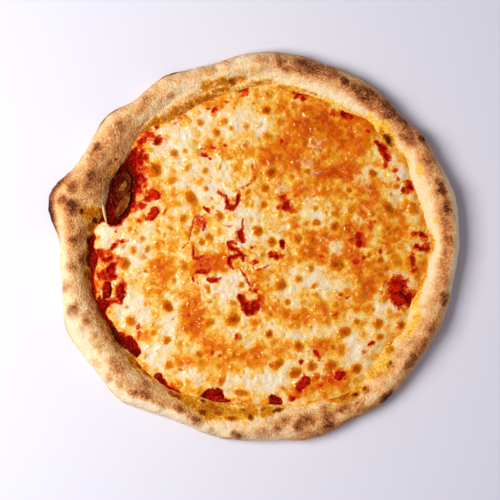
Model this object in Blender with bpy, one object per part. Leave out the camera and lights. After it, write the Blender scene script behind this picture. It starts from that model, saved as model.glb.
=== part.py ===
"""Margherita pizza, whole and uncut, lying flat on z = 0.

A baked dough base with a puffed, uneven rim carries a sheet of tomato sauce, a sheet of melted mozzarella
whose bays and gaps bare the sauce, and pieces of crushed tomato that lie on the sauce in those gaps.
Metres, +Z up. The origin is under the middle of the bounding box. Angles are in degrees, anticlockwise
from +X seen from above.
"""

import math

import bmesh
import bpy
from mathutils import Vector, noise
from mathutils.geometry import delaunay_2d_cdt

MM = 0.001
CLEARANCE = 0.3 * MM  # between pieces that lie on each other

# Driving dimensions
OUTER_RADIUS = 155 * MM
FOOT_RADIUS = 131 * MM  # where the rim's inner slope meets the topping
RIM_HEIGHT = 18 * MM
BASE_THICKNESS = 4 * MM
SAUCE_THICKNESS = 1.2 * MM
CHEESE_THICKNESS = 3 * MM
CHEESE_EDGE_THICKNESS = 1 * MM

# How the rim departs from a plain ring: (angle, spread in degrees, millimetres added)
OUTER_BULGES = (
    (11, 21, 10.5),
    (33, 4.5, 3.5),
    (54, 11, 4),
    (80, 7, 2),
    (104, 10, -6),
    (129, 6, -5.5),
    (138, 4.5, 3.5),
    (165, 5.5, 14),
    (172, 4, 7.5),
    (205, 9, 9.5),
    (217, 5, 3.5),
    (228, 8, 8.5),
    (247, 9, -2),
    (263, 6, 1),
    (288, 10, 5.5),
    (312, 13, 7),
    (338, 14, 6.5),
    (354, 8, 0.5),
)
FOOT_BULGES = (
    (1, 6, 9),
    (14, 8, 5.5),
    (30, 6, 9),
    (45, 7, 5.5),
    (103, 9, -5),
    (122, 10, -5.5),
    (145, 9, -7.5),
    (165, 9, -8.5),
    (193, 12, 4),
    (214, 8, 1),
    (232, 10, 4),
    (262, 14, -4),
    (304, 9, 7),
    (312, 4, 3),
    (332, 6, 5.5),
    (351, 8, 5.5),
)
HEIGHT_BULGES = (
    (10, 30, 2),
    (80, 20, 1.5),
    (108, 14, -2.5),
    (128, 8, -1),
    (140, 7, 1.5),
    (163, 9, 3),
    (205, 15, 1.5),
    (230, 14, 2),
    (256, 12, -1.5),
    (300, 18, -1),
    (330, 14, 1.5),
)
# Single lumps and dents in the rim: (angle, radius, reach, height), lengths in millimetres
RIM_LUMPS = (
    (153, 146, 9, 1.5),
    (160, 133, 7, 2),
    (168.5, 134, 7, -6),
    (174, 141, 8, 2),
    (178, 129, 5, -3),
    (36, 157, 6, -1.5),
    (61, 150, 9, 1.5),
    (317, 139, 9, -2.5),
    (324, 152, 9, 1.5),
    (255, 134, 11, -2),
)
# Where the sauce lies bare between the rim and the cheese: (angle, spread in degrees, depth in millimetres)
CHEESE_BAYS = (
    (131, 4, 6),
    (138, 5, 10),
    (147, 6, 15),
    (156, 7, 18),
    (165, 5, 14),
    (171, 4, 11),
    (183, 5, 18),
    (194, 7, 23),
    (202, 4, 10),
    (214, 4, 13),
    (222, 3, 7),
    (235, 3, 8),
    (254, 4.5, 8),
    (278, 4, 9),
)

# The rim's section
CREST_SHARE = 0.38  # how far in from the outer edge the crest stands, of the rim's width
CREST_OUTWARD = (10, 45, 0.1)  # angle, spread and share by which it stands further out
WIDEST_SHARE = 0.4  # how high the widest point is, of the rim's height
LOW_LIP = (166, 7, 0.2)  # angle, spread and share by which the widest point is lower
UNDERCUT_ANGLE = 50  # how far the outer wall curls in under its widest point
STEEP_SIDE = (195, 55)  # angle and spread of the side whose inner wall stands upright
ROUND_SHARE = 0.35  # how round the inner slope is elsewhere, where the rest of it runs out softly
RIM_STEPS = 132
OUTER_WALL_STEPS = 8
INNER_SLOPE_STEPS = 8
FLOOR_SHARES = (0.68, 0.34)
UNEVEN_SIZE = 22 * MM
UNEVEN_HEIGHT = 1.3 * MM
SHARP_ANGLE = 50  # degrees between faces that aren't shaded as one smooth surface

# The sheets
SHEET_EDGE_STEPS = 120
SAUCE_SPACING = 22 * MM
CHEESE_SPACING = 8.5 * MM
CHEESE_MOUND_SIZE = 17 * MM
CHEESE_MOUND_HEIGHT = 1.1 * MM
CHEESE_EDGE_WIDTH = 1.4 * CHEESE_SPACING  # over which the cheese thins out
EDGE_ROOM = 0.45  # least distance of a sheet's inner points from its outlines, of its spacing
ROW_SHARE = math.sqrt(3) / 2  # distance between rows of points in even triangles, of their spacing
MERGE_DISTANCE = 1e-7

# Pieces of crushed tomato: (x, y, length, width, height, turn in degrees), lengths in millimetres
TOMATO_PIECES = (
    (113.5, -33.5, 15, 9.5, 5, 28),
    (117.5, -43.5, 10, 10.5, 5, -50),
    (68.5, -103.5, 9.5, 9, 5, 0),
    (-117, -35, 8.5, 15, 5, -6),
    (-106.5, -37, 7, 14, 5, -16),
    (-80, 41, 12, 8.5, 5, -30),
    (-80.5, 26.5, 14, 7.5, 5, 52),
    (41, -108.5, 8, 12, 5, -38),
)
TOMATO_MARGIN = 1 * MM
TOMATO_UNEVENNESS = 0.16
TOMATO_LUMPS = 1.7  # lumps across half a piece
TOMATO_SUNK = 0.45  # how much of a piece's lower half is above its flat underside
# Other gaps in the cheese, where the sauce shows: (x, y, length, width, turn in degrees)
SAUCE_GAPS = (
    (3, -47, 14, 10, -30),
    (18, -7.5, 13, 6.5, -15),
    (72, 105, 14, 7, 0),
    (104, 78, 16, 6.5, -55),
    (-88, 73, 12, 9, -60),
    (-77, 85.5, 8, 8, 0),
    (131, 8, 11, 7, 20),
    (17, -122.5, 11, 7, -10),
)
GAP_STEPS = 12
GAP_UNEVENNESS = 0.14
GAP_NOISE_SCALE = 0.37  # of the noise that makes each gap another shape, for each millimetre between gaps


def bell(angle, centre, spread):
    """1 at the centre and almost 0 two spreads away, measured round the rim."""
    away = (angle - centre + 180) % 360 - 180
    return math.exp(-((away / spread) ** 2))


def with_bulges(size, bulges, angle):
    return size + sum(bell(angle, at, spread) * height * MM for at, spread, height in bulges)


def share_at(place, angle):
    centre, spread, share = place
    return share * bell(angle, centre, spread)


def outer_radius(angle):
    return with_bulges(OUTER_RADIUS, OUTER_BULGES, angle)


def foot_radius(angle):
    return with_bulges(FOOT_RADIUS, FOOT_BULGES, angle)


def rim_height(angle):
    return with_bulges(RIM_HEIGHT, HEIGHT_BULGES, angle)


def cheese_radius(angle):
    bays = sum(bell(angle, at, spread) * depth * MM for at, spread, depth in CHEESE_BAYS)
    return foot_radius(angle) - 2 * CLEARANCE - bays


def on_circle(angle, radius, z=0.0):
    return Vector((radius * math.cos(math.radians(angle)), radius * math.sin(math.radians(angle)), z))


def outline(radius_at, steps):
    return [on_circle(360 * i / steps, radius_at(360 * i / steps)) for i in range(steps)]


def box_middle():
    """The middle of the crust's outline, which is moved to the origin."""
    points = outline(outer_radius, RIM_STEPS)
    low = [min(p[axis] for p in points) for axis in (0, 1)]
    high = [max(p[axis] for p in points) for axis in (0, 1)]
    return Vector(((low[0] + high[0]) / 2, (low[1] + high[1]) / 2, 0))


def rim_unevenness(point):
    """Height that soft dough waves and single lumps and dents add to the rim at this place."""
    added = UNEVEN_HEIGHT * noise.noise(point / UNEVEN_SIZE)
    for angle, radius, reach, height in RIM_LUMPS:
        away = (point.xy - on_circle(angle, radius * MM).xy).length
        added += height * MM * math.exp(-((away / (reach * MM)) ** 2))
    return added


def crust_section(angle):
    """Points from under the rim, up the outer wall, over the crest and down to the floor at this angle."""
    outer, foot, height = outer_radius(angle), foot_radius(angle), rim_height(angle)
    crest = outer - (CREST_SHARE - share_at(CREST_OUTWARD, angle)) * (outer - foot)
    widest = (WIDEST_SHARE - share_at(LOW_LIP, angle)) * height
    undercut = math.radians(UNDERCUT_ANGLE)
    upright = bell(angle, *STEEP_SIDE)
    points = []
    for i in range(OUTER_WALL_STEPS + 1):
        turn = -undercut + (math.pi / 2 + undercut) * i / OUTER_WALL_STEPS
        radius = crest + (outer - crest) * math.cos(turn)
        if turn < 0:
            z = widest * (1 + math.sin(turn) / math.sin(undercut))
        else:
            z = widest + (height - widest) * math.sin(turn)
        points.append(on_circle(angle, radius, z))
    for i in range(1, INNER_SLOPE_STEPS + 1):
        inward = i / INNER_SLOPE_STEPS
        radius = crest + (foot - crest) * math.sin(inward * math.pi / 2)
        across = (radius - foot) / (crest - foot)
        round_side = math.sqrt(1 - (1 - across) ** 2)
        soft_side = (1 - math.cos(math.pi * across)) / 2
        roundness = ROUND_SHARE + (1 - ROUND_SHARE) * upright
        share = roundness * round_side + (1 - roundness) * soft_side
        points.append(on_circle(angle, radius, BASE_THICKNESS + (height - BASE_THICKNESS) * share))
    for point in points[1:-1]:
        rise = (point.z / height) ** 2
        point.z = max(point.z + rise * rim_unevenness(point), 0.0)
    return points


def add_object(name, mesh_builder, material, offset=Vector((0, 0, 0))):
    mesh = bpy.data.meshes.new(name)
    mesh_builder.to_mesh(mesh)
    mesh_builder.free()
    mesh.materials.append(material)
    mesh.shade_smooth()
    mesh.set_sharp_from_angle(angle=math.radians(SHARP_ANGLE))
    made = bpy.data.objects.new(name, mesh)
    made.location = offset
    bpy.context.scene.collection.objects.link(made)
    return made


def food_material(name, colour, roughness):
    made = bpy.data.materials.new(name)
    made.use_nodes = True
    shader = made.node_tree.nodes["Principled BSDF"]
    shader.inputs["Base Color"].default_value = (*colour, 1)
    shader.inputs["Roughness"].default_value = roughness
    shader.inputs["Metallic"].default_value = 0
    return made


def bridge(builder, ring_a, ring_b):
    count = len(ring_a)
    for i in range(count):
        j = (i + 1) % count
        builder.faces.new((ring_a[i], ring_a[j], ring_b[j], ring_b[i]))


def close_with_fan(builder, ring, z, up):
    middle = builder.verts.new((0, 0, z))
    for i, vert in enumerate(ring):
        following = ring[(i + 1) % len(ring)]
        builder.faces.new((vert, following, middle) if up else (following, vert, middle))


def make_crust(material, offset):
    """The dough: a flat base whose rim's section changes all the way round."""
    builder = bmesh.new()
    angles = [360 * i / RIM_STEPS for i in range(RIM_STEPS)]
    sections = [crust_section(angle) for angle in angles]
    rings = [[builder.verts.new(section[k]) for section in sections] for k in range(len(sections[0]))]
    for ring_a, ring_b in zip(rings, rings[1:]):
        bridge(builder, ring_a, ring_b)
    last = rings[-1]
    for share in FLOOR_SHARES:
        inner = [builder.verts.new(on_circle(a, foot_radius(a) * share, BASE_THICKNESS)) for a in angles]
        bridge(builder, last, inner)
        last = inner
    close_with_fan(builder, last, BASE_THICKNESS, up=True)
    close_with_fan(builder, rings[0], 0, up=False)
    return add_object("crust", builder, material, offset)


def placed(x, y, turn, across, along, z=0.0):
    """A point given along the length and width of something that lies at x, y in millimetres, turned."""
    turned = math.radians(turn)
    return Vector((
        x * MM + across * math.cos(turned) - along * math.sin(turned),
        y * MM + across * math.sin(turned) + along * math.cos(turned),
        z,
    ))


def wavy_oval(x, y, length, width, turn, margin=0.0):
    """An uneven oval outline, anticlockwise, grown by margin."""
    points = []
    for i in range(GAP_STEPS):
        angle = 2 * math.pi * i / GAP_STEPS
        direction = Vector((math.cos(angle), math.sin(angle), 0))
        wave = 1 + GAP_UNEVENNESS * noise.noise(Vector((x, y, 0)) * GAP_NOISE_SCALE + direction)
        across = (length / 2 * MM * wave + margin) * math.cos(angle)
        along = (width / 2 * MM * wave + margin) * math.sin(angle)
        points.append(placed(x, y, turn, across, along))
    return points


def inside(point, loop):
    """Whether a point lies inside a closed outline, by counting the edges to its right."""
    crossings = 0
    for a, b in zip(loop, loop[1:] + loop[:1]):
        if (a.y > point.y) != (b.y > point.y):
            at = a.x + (point.y - a.y) * (b.x - a.x) / (b.y - a.y)
            crossings += at > point.x
    return crossings % 2 == 1


def edge_distance(point, loops):
    return min((point.xy - p.xy).length for loop in loops for p in loop)


def staggered_grid(reach, spacing):
    rows = math.ceil(reach / (spacing * ROW_SHARE))
    columns = math.ceil(reach / spacing) + 1
    for row in range(-rows, rows + 1):
        for column in range(-columns, columns + 1):
            yield Vector(((column + 0.5 * (row % 2)) * spacing, row * spacing * ROW_SHARE, 0))


def make_sheet(name, loops, spacing, bottom, thickness_at, material, offset):
    """A closed sheet inside the first loop and outside the others, with a flat underside."""
    points = [p for loop in loops for p in loop]
    edges = []
    start = 0
    for loop in loops:
        edges += [(start + i, start + (i + 1) % len(loop)) for i in range(len(loop))]
        start += len(loop)
    for point in staggered_grid(OUTER_RADIUS, spacing):
        if inside(point, loops[0]) and not any(inside(point, hole) for hole in loops[1:]):
            if edge_distance(point, loops) > EDGE_ROOM * spacing:
                points.append(point)
    flat_points, _, faces, *_ = delaunay_2d_cdt([p.xy for p in points], edges, [], 0, MERGE_DISTANCE)
    flat_points = [Vector((p.x, p.y, 0)) for p in flat_points]
    builder = bmesh.new()
    tops, bottoms = [], []
    for point in flat_points:
        top = bottom + thickness_at(point, edge_distance(point, loops))
        tops.append(builder.verts.new((point.x, point.y, top)))
        bottoms.append(builder.verts.new((point.x, point.y, bottom)))
    walls = {}
    for face in faces:
        middle = sum((flat_points[i] for i in face), Vector((0, 0, 0))) / len(face)
        if not inside(middle, loops[0]) or any(inside(middle, hole) for hole in loops[1:]):
            continue
        builder.faces.new([tops[i] for i in face])
        builder.faces.new([bottoms[i] for i in reversed(face)])
        for a, b in zip(face, face[1:] + face[:1]):
            if (b, a) in walls:
                del walls[b, a]
            else:
                walls[a, b] = True
    for a, b in walls:
        builder.faces.new((tops[b], tops[a], bottoms[a], bottoms[b]))
    loose = [v for v in builder.verts if not v.link_faces]
    bmesh.ops.delete(builder, geom=loose, context="VERTS")
    return add_object(name, builder, material, offset)


def cheese_thickness(point, from_edge):
    """Mounds of melted cheese that thin out towards the sheet's edge."""
    mound = CHEESE_MOUND_HEIGHT * noise.noise(point / CHEESE_MOUND_SIZE)
    rise = min(from_edge / CHEESE_EDGE_WIDTH, 1)
    return CHEESE_EDGE_THICKNESS + rise * (CHEESE_THICKNESS - CHEESE_EDGE_THICKNESS + mound)


def make_tomato_piece(name, piece, bottom, material, offset):
    """A soft irregular lump with a flat underside."""
    x, y, length, width, height, turn = piece
    builder = bmesh.new()
    bmesh.ops.create_icosphere(builder, subdivisions=2, radius=1)
    for vert in builder.verts:
        lump = 1 + TOMATO_UNEVENNESS * noise.noise(vert.co * TOMATO_LUMPS + Vector((x, y, 0)))
        across = vert.co.x * length / 2 * MM * lump
        along = vert.co.y * width / 2 * MM * lump
        rise = max(vert.co.z * lump + TOMATO_SUNK, 0) / (1 + TOMATO_SUNK)
        vert.co = placed(x, y, turn, across, along, bottom + rise * height * MM)
    return add_object(name, builder, material, offset)


def main():
    for old in list(bpy.data.objects):
        bpy.data.objects.remove(old)
    crust = food_material("baked_dough", (0.78, 0.56, 0.33), 0.8)
    sauce = food_material("tomato_sauce", (0.42, 0.015, 0.006), 0.3)
    cheese = food_material("melted_mozzarella", (0.88, 0.55, 0.17), 0.4)
    tomato = food_material("crushed_tomato", (0.6, 0.03, 0.012), 0.25)
    offset = -box_middle()
    make_crust(crust, offset)

    sauce_bottom = BASE_THICKNESS + CLEARANCE
    sauce_outline = outline(lambda angle: foot_radius(angle) - 2 * CLEARANCE, SHEET_EDGE_STEPS)
    make_sheet("tomato_sauce", [sauce_outline], SAUCE_SPACING, sauce_bottom,
               lambda point, from_edge: SAUCE_THICKNESS, sauce, offset)

    cheese_bottom = sauce_bottom + SAUCE_THICKNESS + CLEARANCE
    cheese_outline = outline(cheese_radius, SHEET_EDGE_STEPS)
    openings = [wavy_oval(x, y, length, width, turn, TOMATO_MARGIN)
                for x, y, length, width, _, turn in TOMATO_PIECES]
    openings += [wavy_oval(*gap) for gap in SAUCE_GAPS]
    make_sheet("mozzarella", [cheese_outline, *openings], CHEESE_SPACING, cheese_bottom,
               cheese_thickness, cheese, offset)
    for number, piece in enumerate(TOMATO_PIECES, 1):
        make_tomato_piece(f"tomato_piece_{number}", piece, cheese_bottom, tomato, offset)


main()
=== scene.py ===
"""The looks of a margherita pizza: floury leopard-spotted crust, blistered mozzarella, wet tomato sauce.

Every piece is grown over its CAD solid, apart from a few thin films. Maps of features seen from above
(blisters, oil, streaks, char) are painted on one square grid, then shape the meshes and reach the materials
as point attributes. Some of the colour of the crust, the sauce, the tomato and the films is painted light
and shade. Lengths are in millimetres until a mesh is made. Angles are in degrees, anticlockwise from +X.
"""

import math

import bpy
import numpy as np
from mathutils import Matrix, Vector
from mathutils.bvhtree import BVHTree


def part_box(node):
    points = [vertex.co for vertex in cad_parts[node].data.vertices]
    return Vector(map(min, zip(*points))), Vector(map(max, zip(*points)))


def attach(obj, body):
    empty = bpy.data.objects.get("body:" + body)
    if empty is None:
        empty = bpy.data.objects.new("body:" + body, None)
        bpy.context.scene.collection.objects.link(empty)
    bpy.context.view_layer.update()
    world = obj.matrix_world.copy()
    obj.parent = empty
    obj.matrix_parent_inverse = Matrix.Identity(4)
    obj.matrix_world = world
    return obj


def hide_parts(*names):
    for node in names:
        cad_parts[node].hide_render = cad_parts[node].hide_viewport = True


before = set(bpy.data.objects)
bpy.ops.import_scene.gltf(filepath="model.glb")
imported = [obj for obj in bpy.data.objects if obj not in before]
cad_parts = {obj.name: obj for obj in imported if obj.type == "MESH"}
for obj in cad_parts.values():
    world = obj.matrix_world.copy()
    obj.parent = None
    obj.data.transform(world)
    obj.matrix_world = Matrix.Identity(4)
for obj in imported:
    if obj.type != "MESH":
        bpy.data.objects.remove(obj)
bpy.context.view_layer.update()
MM = 0.001

# ---------------------------------------------------------------- features
# Most were placed on the photo. Many rows of RIM_ZONES and some of OIL_ZONES lie instead where the
# colours of photo and render were measured, and make up for the difference found there.
# Browned blisters on the cheese: (x, y, half width, half height, darkness)
BLISTERS = (
    (-43, 99, 3, 3, .6), (-30, 91, 3, 3, .7), (-45, 90, 2.5, 2.5, .3), (-18, 94, 2, 2, .5),
    (-24, 100, 3, 3, .6), (-64, 74, 4, 3, .6), (-55, 76, 2, 2, .5), (-53, 63, 2, 4, .5),
    (-66, 52, 5, 2.5, .6), (-39, 60, 2.5, 2.5, .6), (-38, 46, 2, 2, .6), (-50, 38, 4, 6.5, .8),
    (-34, 38, 1.5, 1.5, .5), (-56, 22, 3.5, 3.5, .7), (-28, 24, 3, 4.5, .75), (-46, 12, 2.5, 3.5, .75),
    (-36, 7, 3, 4, .6), (-42, 3, 3, 3, .65), (-66, 14, 3.5, 1.5, .5), (-89, 6, 2.5, 2.5, .6),
    (-99, 14, 2, 3, .5), (-77, 1, 2, 4, .5), (-54, 9, 2, 3, .4), (-79.5, 61, 6, 5.6, 1),
    (-104, -14, 5, 4.6, .9), (-83, 66, 3, 2, .5), (-20, 71, 3, 2, .5), (-5, 43, 3, 2, .7),
    (-6, 33, 1.6, 2.4, .4), (10, 108.5, 3.6, 3.4, 1), (11.5, 121, 4, 3.4, .5), (31.4, 111.6, 3, 3, .6),
    (21, 100, 4, 3.6, .6), (10.5, 87.6, 4, 3.4, .6), (47, 84, 2, 3.5, .7), (40, 82, 3, 3, .7),
    (52, 94, 4, 3, .9), (14, 59, 4.5, 4, .95), (43, 60, 3, 2.5, .9), (9, 46, 3, 3, .85),
    (8, 33, 3, 2.6, .8), (3, 12, 4.2, 3.8, .85), (14, 3, 4, 3.6, .85), (35, 6, 3, 4, .85),
    (65, 16, 3, 4, .9), (50, 19, 3, 3, .8), (95, 58, 4, 3, .9), (30, 55, 2.5, 2.5, .6), (32, 68, 2, 2, .6),
    (49, 66, 2, 2, .6), (107, 30.5, 3.4, 6.4, 1), (94, 26, 3, 3, .7), (77, 28, 3.4, 5.4, .6),
    (127, 30, 4, 5, .7), (114, 48, 2.5, 2.5, .7), (76, 45, 2.5, 2.5, .8), (108, 10, 2, 2, .7),
    (-98, -59, 4, 4, .7), (-69, -48, 4, 5, .95), (-70, -75, 3.5, 3.5, .7), (-68, -95, 3.5, 3.5, .6),
    (-16.4, -58.3, 5.7, 5.5, 1), (-16.7, -46, 3.6, 2.4, .6), (-37, -34, 2.4, 4.4, .55),
    (-36, -61, 4, 4, .7), (-44, -86, 3, 3, .8), (-16, -88, 2.5, 2.5, .7), (-26, -107, 3, 5, .7),
    (-11, -117, 7, 2.5, .7), (-10, -31, 2.5, 2.5, .7), (-12, -73, 2.5, 2.5, .7), (-56, -16, 3, 5, .7),
    (-64, -28, 2, 3, .6), (-80, -69, 2.5, 2.5, .6), (-60, -110, 3, 3, .6), (-96, -3, 3, 3, .6),
    (22, -31, 4.6, 4.4, .9), (36, -26, 4, 3, .6), (66.5, -14.5, 5.6, 4.8, .95), (48, -32, 3.5, 2, .7),
    (84, -28, 2.5, 2.5, .7), (27, -45, 2.5, 2.5, .7), (13, -54, 2, 3.5, .7), (12, -70, 3, 3, .95),
    (72, -69, 5.2, 4, .9), (99.4, -62, 3.8, 3.6, .95), (117.5, -63.5, 3.6, 3.6, .9),
    (82, -60, 2.5, 2.5, .7), (63, -81, 2.5, 2.5, .8), (81.6, -98, 4.2, 4.2, .9), (36, -80, 3.5, 5, .85),
    (19, -94, 3.5, 6, .85), (33, -101, 5, 4, .85), (46, -96, 4, 4, .8), (50, -105, 3, 4, .9),
    (61.5, -95, 5.4, 4.6, .9), (24, -114, 3.5, 2, .6), (65, -55, 3, 3, .8), (101, -72.4, 4, 2.6, .75),
    (101, -11, 3, 3, .8), (92, -7, 2.5, 2.5, .7), (106, -39, 3, 6, .7), (110, -80, 4, 6, .7),
    (86, -40, 4.4, 4.4, .6), (114.5, -13, 3.4, 5, .55), (126, -14, 6, 8, .55),
)
# In the next four tables an oval's turn comes last, and is left out where it is 0.
# Where the cheese is stained with orange oil or stayed pale: (x, y, half width, half height, amount, turn)
OIL_ZONES = (
    (60, 85, 45, 38, .45, -35), (30, 100, 22, 22, .04), (75, 40, 35, 20, .2), (98, 48, 16, 16, .16),
    (21, 61, 13, 11, .2), (20, 80, 16, 12, .3), (80, 20, 17, 12, .28), (100, 20, 25, 25, .15),
    (120, 30, 14, 24, .25), (132, -14, 8, 16, .35, 8), (112, -12, 12, 16, .25), (90, -40, 12, 10, .24),
    (88, -17, 26, 14, .5, -15), (50, 0, 26, 16, .34), (30, 40, 18, 12, .25), (10, -30, 12, 10, .28),
    (50, -42, 15, 9, .06), (40, -55, 26, 8, .32, 5), (10, -85, 24, 12, .27, 10), (75, -50, 22, 12, .15, 20),
    (60, -80, 18, 10, .3), (50, -110, 14, 8, .15), (55, -108, 30, 10, .3, 15), (5, 60, 10, 10, .2),
    (-31, 78, 10, 6, .45, -15), (-38, -15, 19, 10, .65, 10), (-62, 26, 14, 16, .04), (-75, 45, 16, 12, .06),
    (-96, 88, 8, 10, .3, 30), (-56, 102, 10, 5, .3, 20), (-28, 112, 10, 6, .2, 20),
    (-70, -15, 13, 9, .35, 20), (-80, -34, 10, 11, .24), (-60, -72, 8, 10, .1), (-48, -55, 12, 19, .5, 10),
    (-60, -90, 12, 12, .12), (-30, -90, 20, 14, .24), (20, -80, 12, 11, -.12), (60, 45, 12, 10, .1),
    (119, 48, 9, 12, -.2), (113, 57, 8, 5, -.25, 30), (128, 40, 5, 8, -.25), (36, 117, 6, 3, -.4),
    (66, 111, 6, 3, -.4), (-60, 90, 26, 16, -.3, 25), (-50, 60, 20, 20, -.22), (-80, -60, 12, 10, -.07),
    (-6, 103, 18, 15, -.28, -20), (-6, 18, 16, 18, -.3), (45, 30, 14, 9, -.25), (45, 72, 8, 6, -.3),
    (60, 18, 9, 7, -.15), (90, 57, 10, 8, -.22), (111, 40, 9, 9, -.3), (85, 22, 8, 5, -.12),
    (67, -1, 9, 6, -.3), (114, -22, 6, 6, -.35), (47, -27, 14, 11, -.3, 20), (80, -84, 9, 16, -.28, 10),
    (96, -52, 12, 12, -.14), (12, -108, 20, 9, -.35), (36, -70, 14, 5, -.16), (-95, -50, 14, 13, -.35),
    (-80, -86, 16, 11, -.3), (-65, -64, 7, 12, -.3), (-97, -31, 11, 10, -.18), (-98, -5, 14, 14, -.25),
    (-115, 18, 14, 14, -.45), (-30, 40, 14, 10, -.25), (-20, -30, 20, 14, -.3), (-18, -108, 12, 7, -.2),
    (-52, -102, 7, 6, -.25),
)
# Where sauce lies bare, with no cheese over it: (x, y, half width, half height, turn)
OPENINGS = (
    (-129.5, 4, 3, 7.5), (-129, -10, 3.4, 9, 8), (-129, -28, 1.7, 13, 8), (-121, -48, 3.4, 4.5, 15),
    (-119, -57.5, 3, 7.5, 31), (-112.5, -66.5, 3.4, 5, 35), (-107, -74, 4.4, 6.4, 38),
    (-100, -79.5, 5, 8, 38), (-94.5, -84, 3.8, 3.8), (-76, -104.5, 4.4, 4), (-72.5, -109, 3, 3),
    (-65, -114.6, 1.8, 8, 58), (-32, -121, 9, 6, -8), (-23, -124.5, 6, 2.2, -14), (17, -125.5, 4.6, 5.4),
    (-112, 24, 6, 9), (-111, 36, 8, 11, -12), (-108, 48, 8, 10), (-104, 58, 7.5, 9, -20),
    (-100, 67, 5, 7, -15), (-97, 58, 5, 10, 10), (-97, 44, 3.6, 12), (-100, 31, 3, 9, -25),
    (-105, 34, 5, 12, -20),
)
# Cheese that lies over the sauce in the bays along the rim: (x, y, half width, half height, turn)
CURDS = (
    (-120, 9, 8.5, 7, -20), (-112, 4, 7, 6), (-124.5, 1, 3.4, 6), (-123, -15, 4, 4.4),
    (-117, -17, 3.4, 3.4), (-125, -31, 3.6, 12, 8), (-110, -13, 3.4, 8), (-112, -37, 2.4, 8),
    (-116, -42, 4, 2), (-121, -35, 1.4, 8), (-109, -50, 8, 4.5), (-117, -51, 3.6, 3, 30), (-103, -62, 8, 6),
    (-111, -57, 4.5, 6, 31), (-87, -92, 6, 6), (-82, -99, 5, 4), (-61, -113, 8, 5, -30), (-69, -100, 5, 5),
    (-45, -116, 9, 5), (-19, -118, 6, 5), (-96, 83, 3.6, 6, -40), (-96, 28, 4, 5), (-84, 88, 7, 6),
    (-82, 76, 7, 7), (-91, 84, 4, 4), (-70, 95, 8, 6), (-93, 22, 6, 4), (0, -120, 14, 6), (30, -119, 9, 5),
    (-86, 58, 6, 9), (-103, 14, 8, 5), (-104, -22, 5, 8),
)
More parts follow.
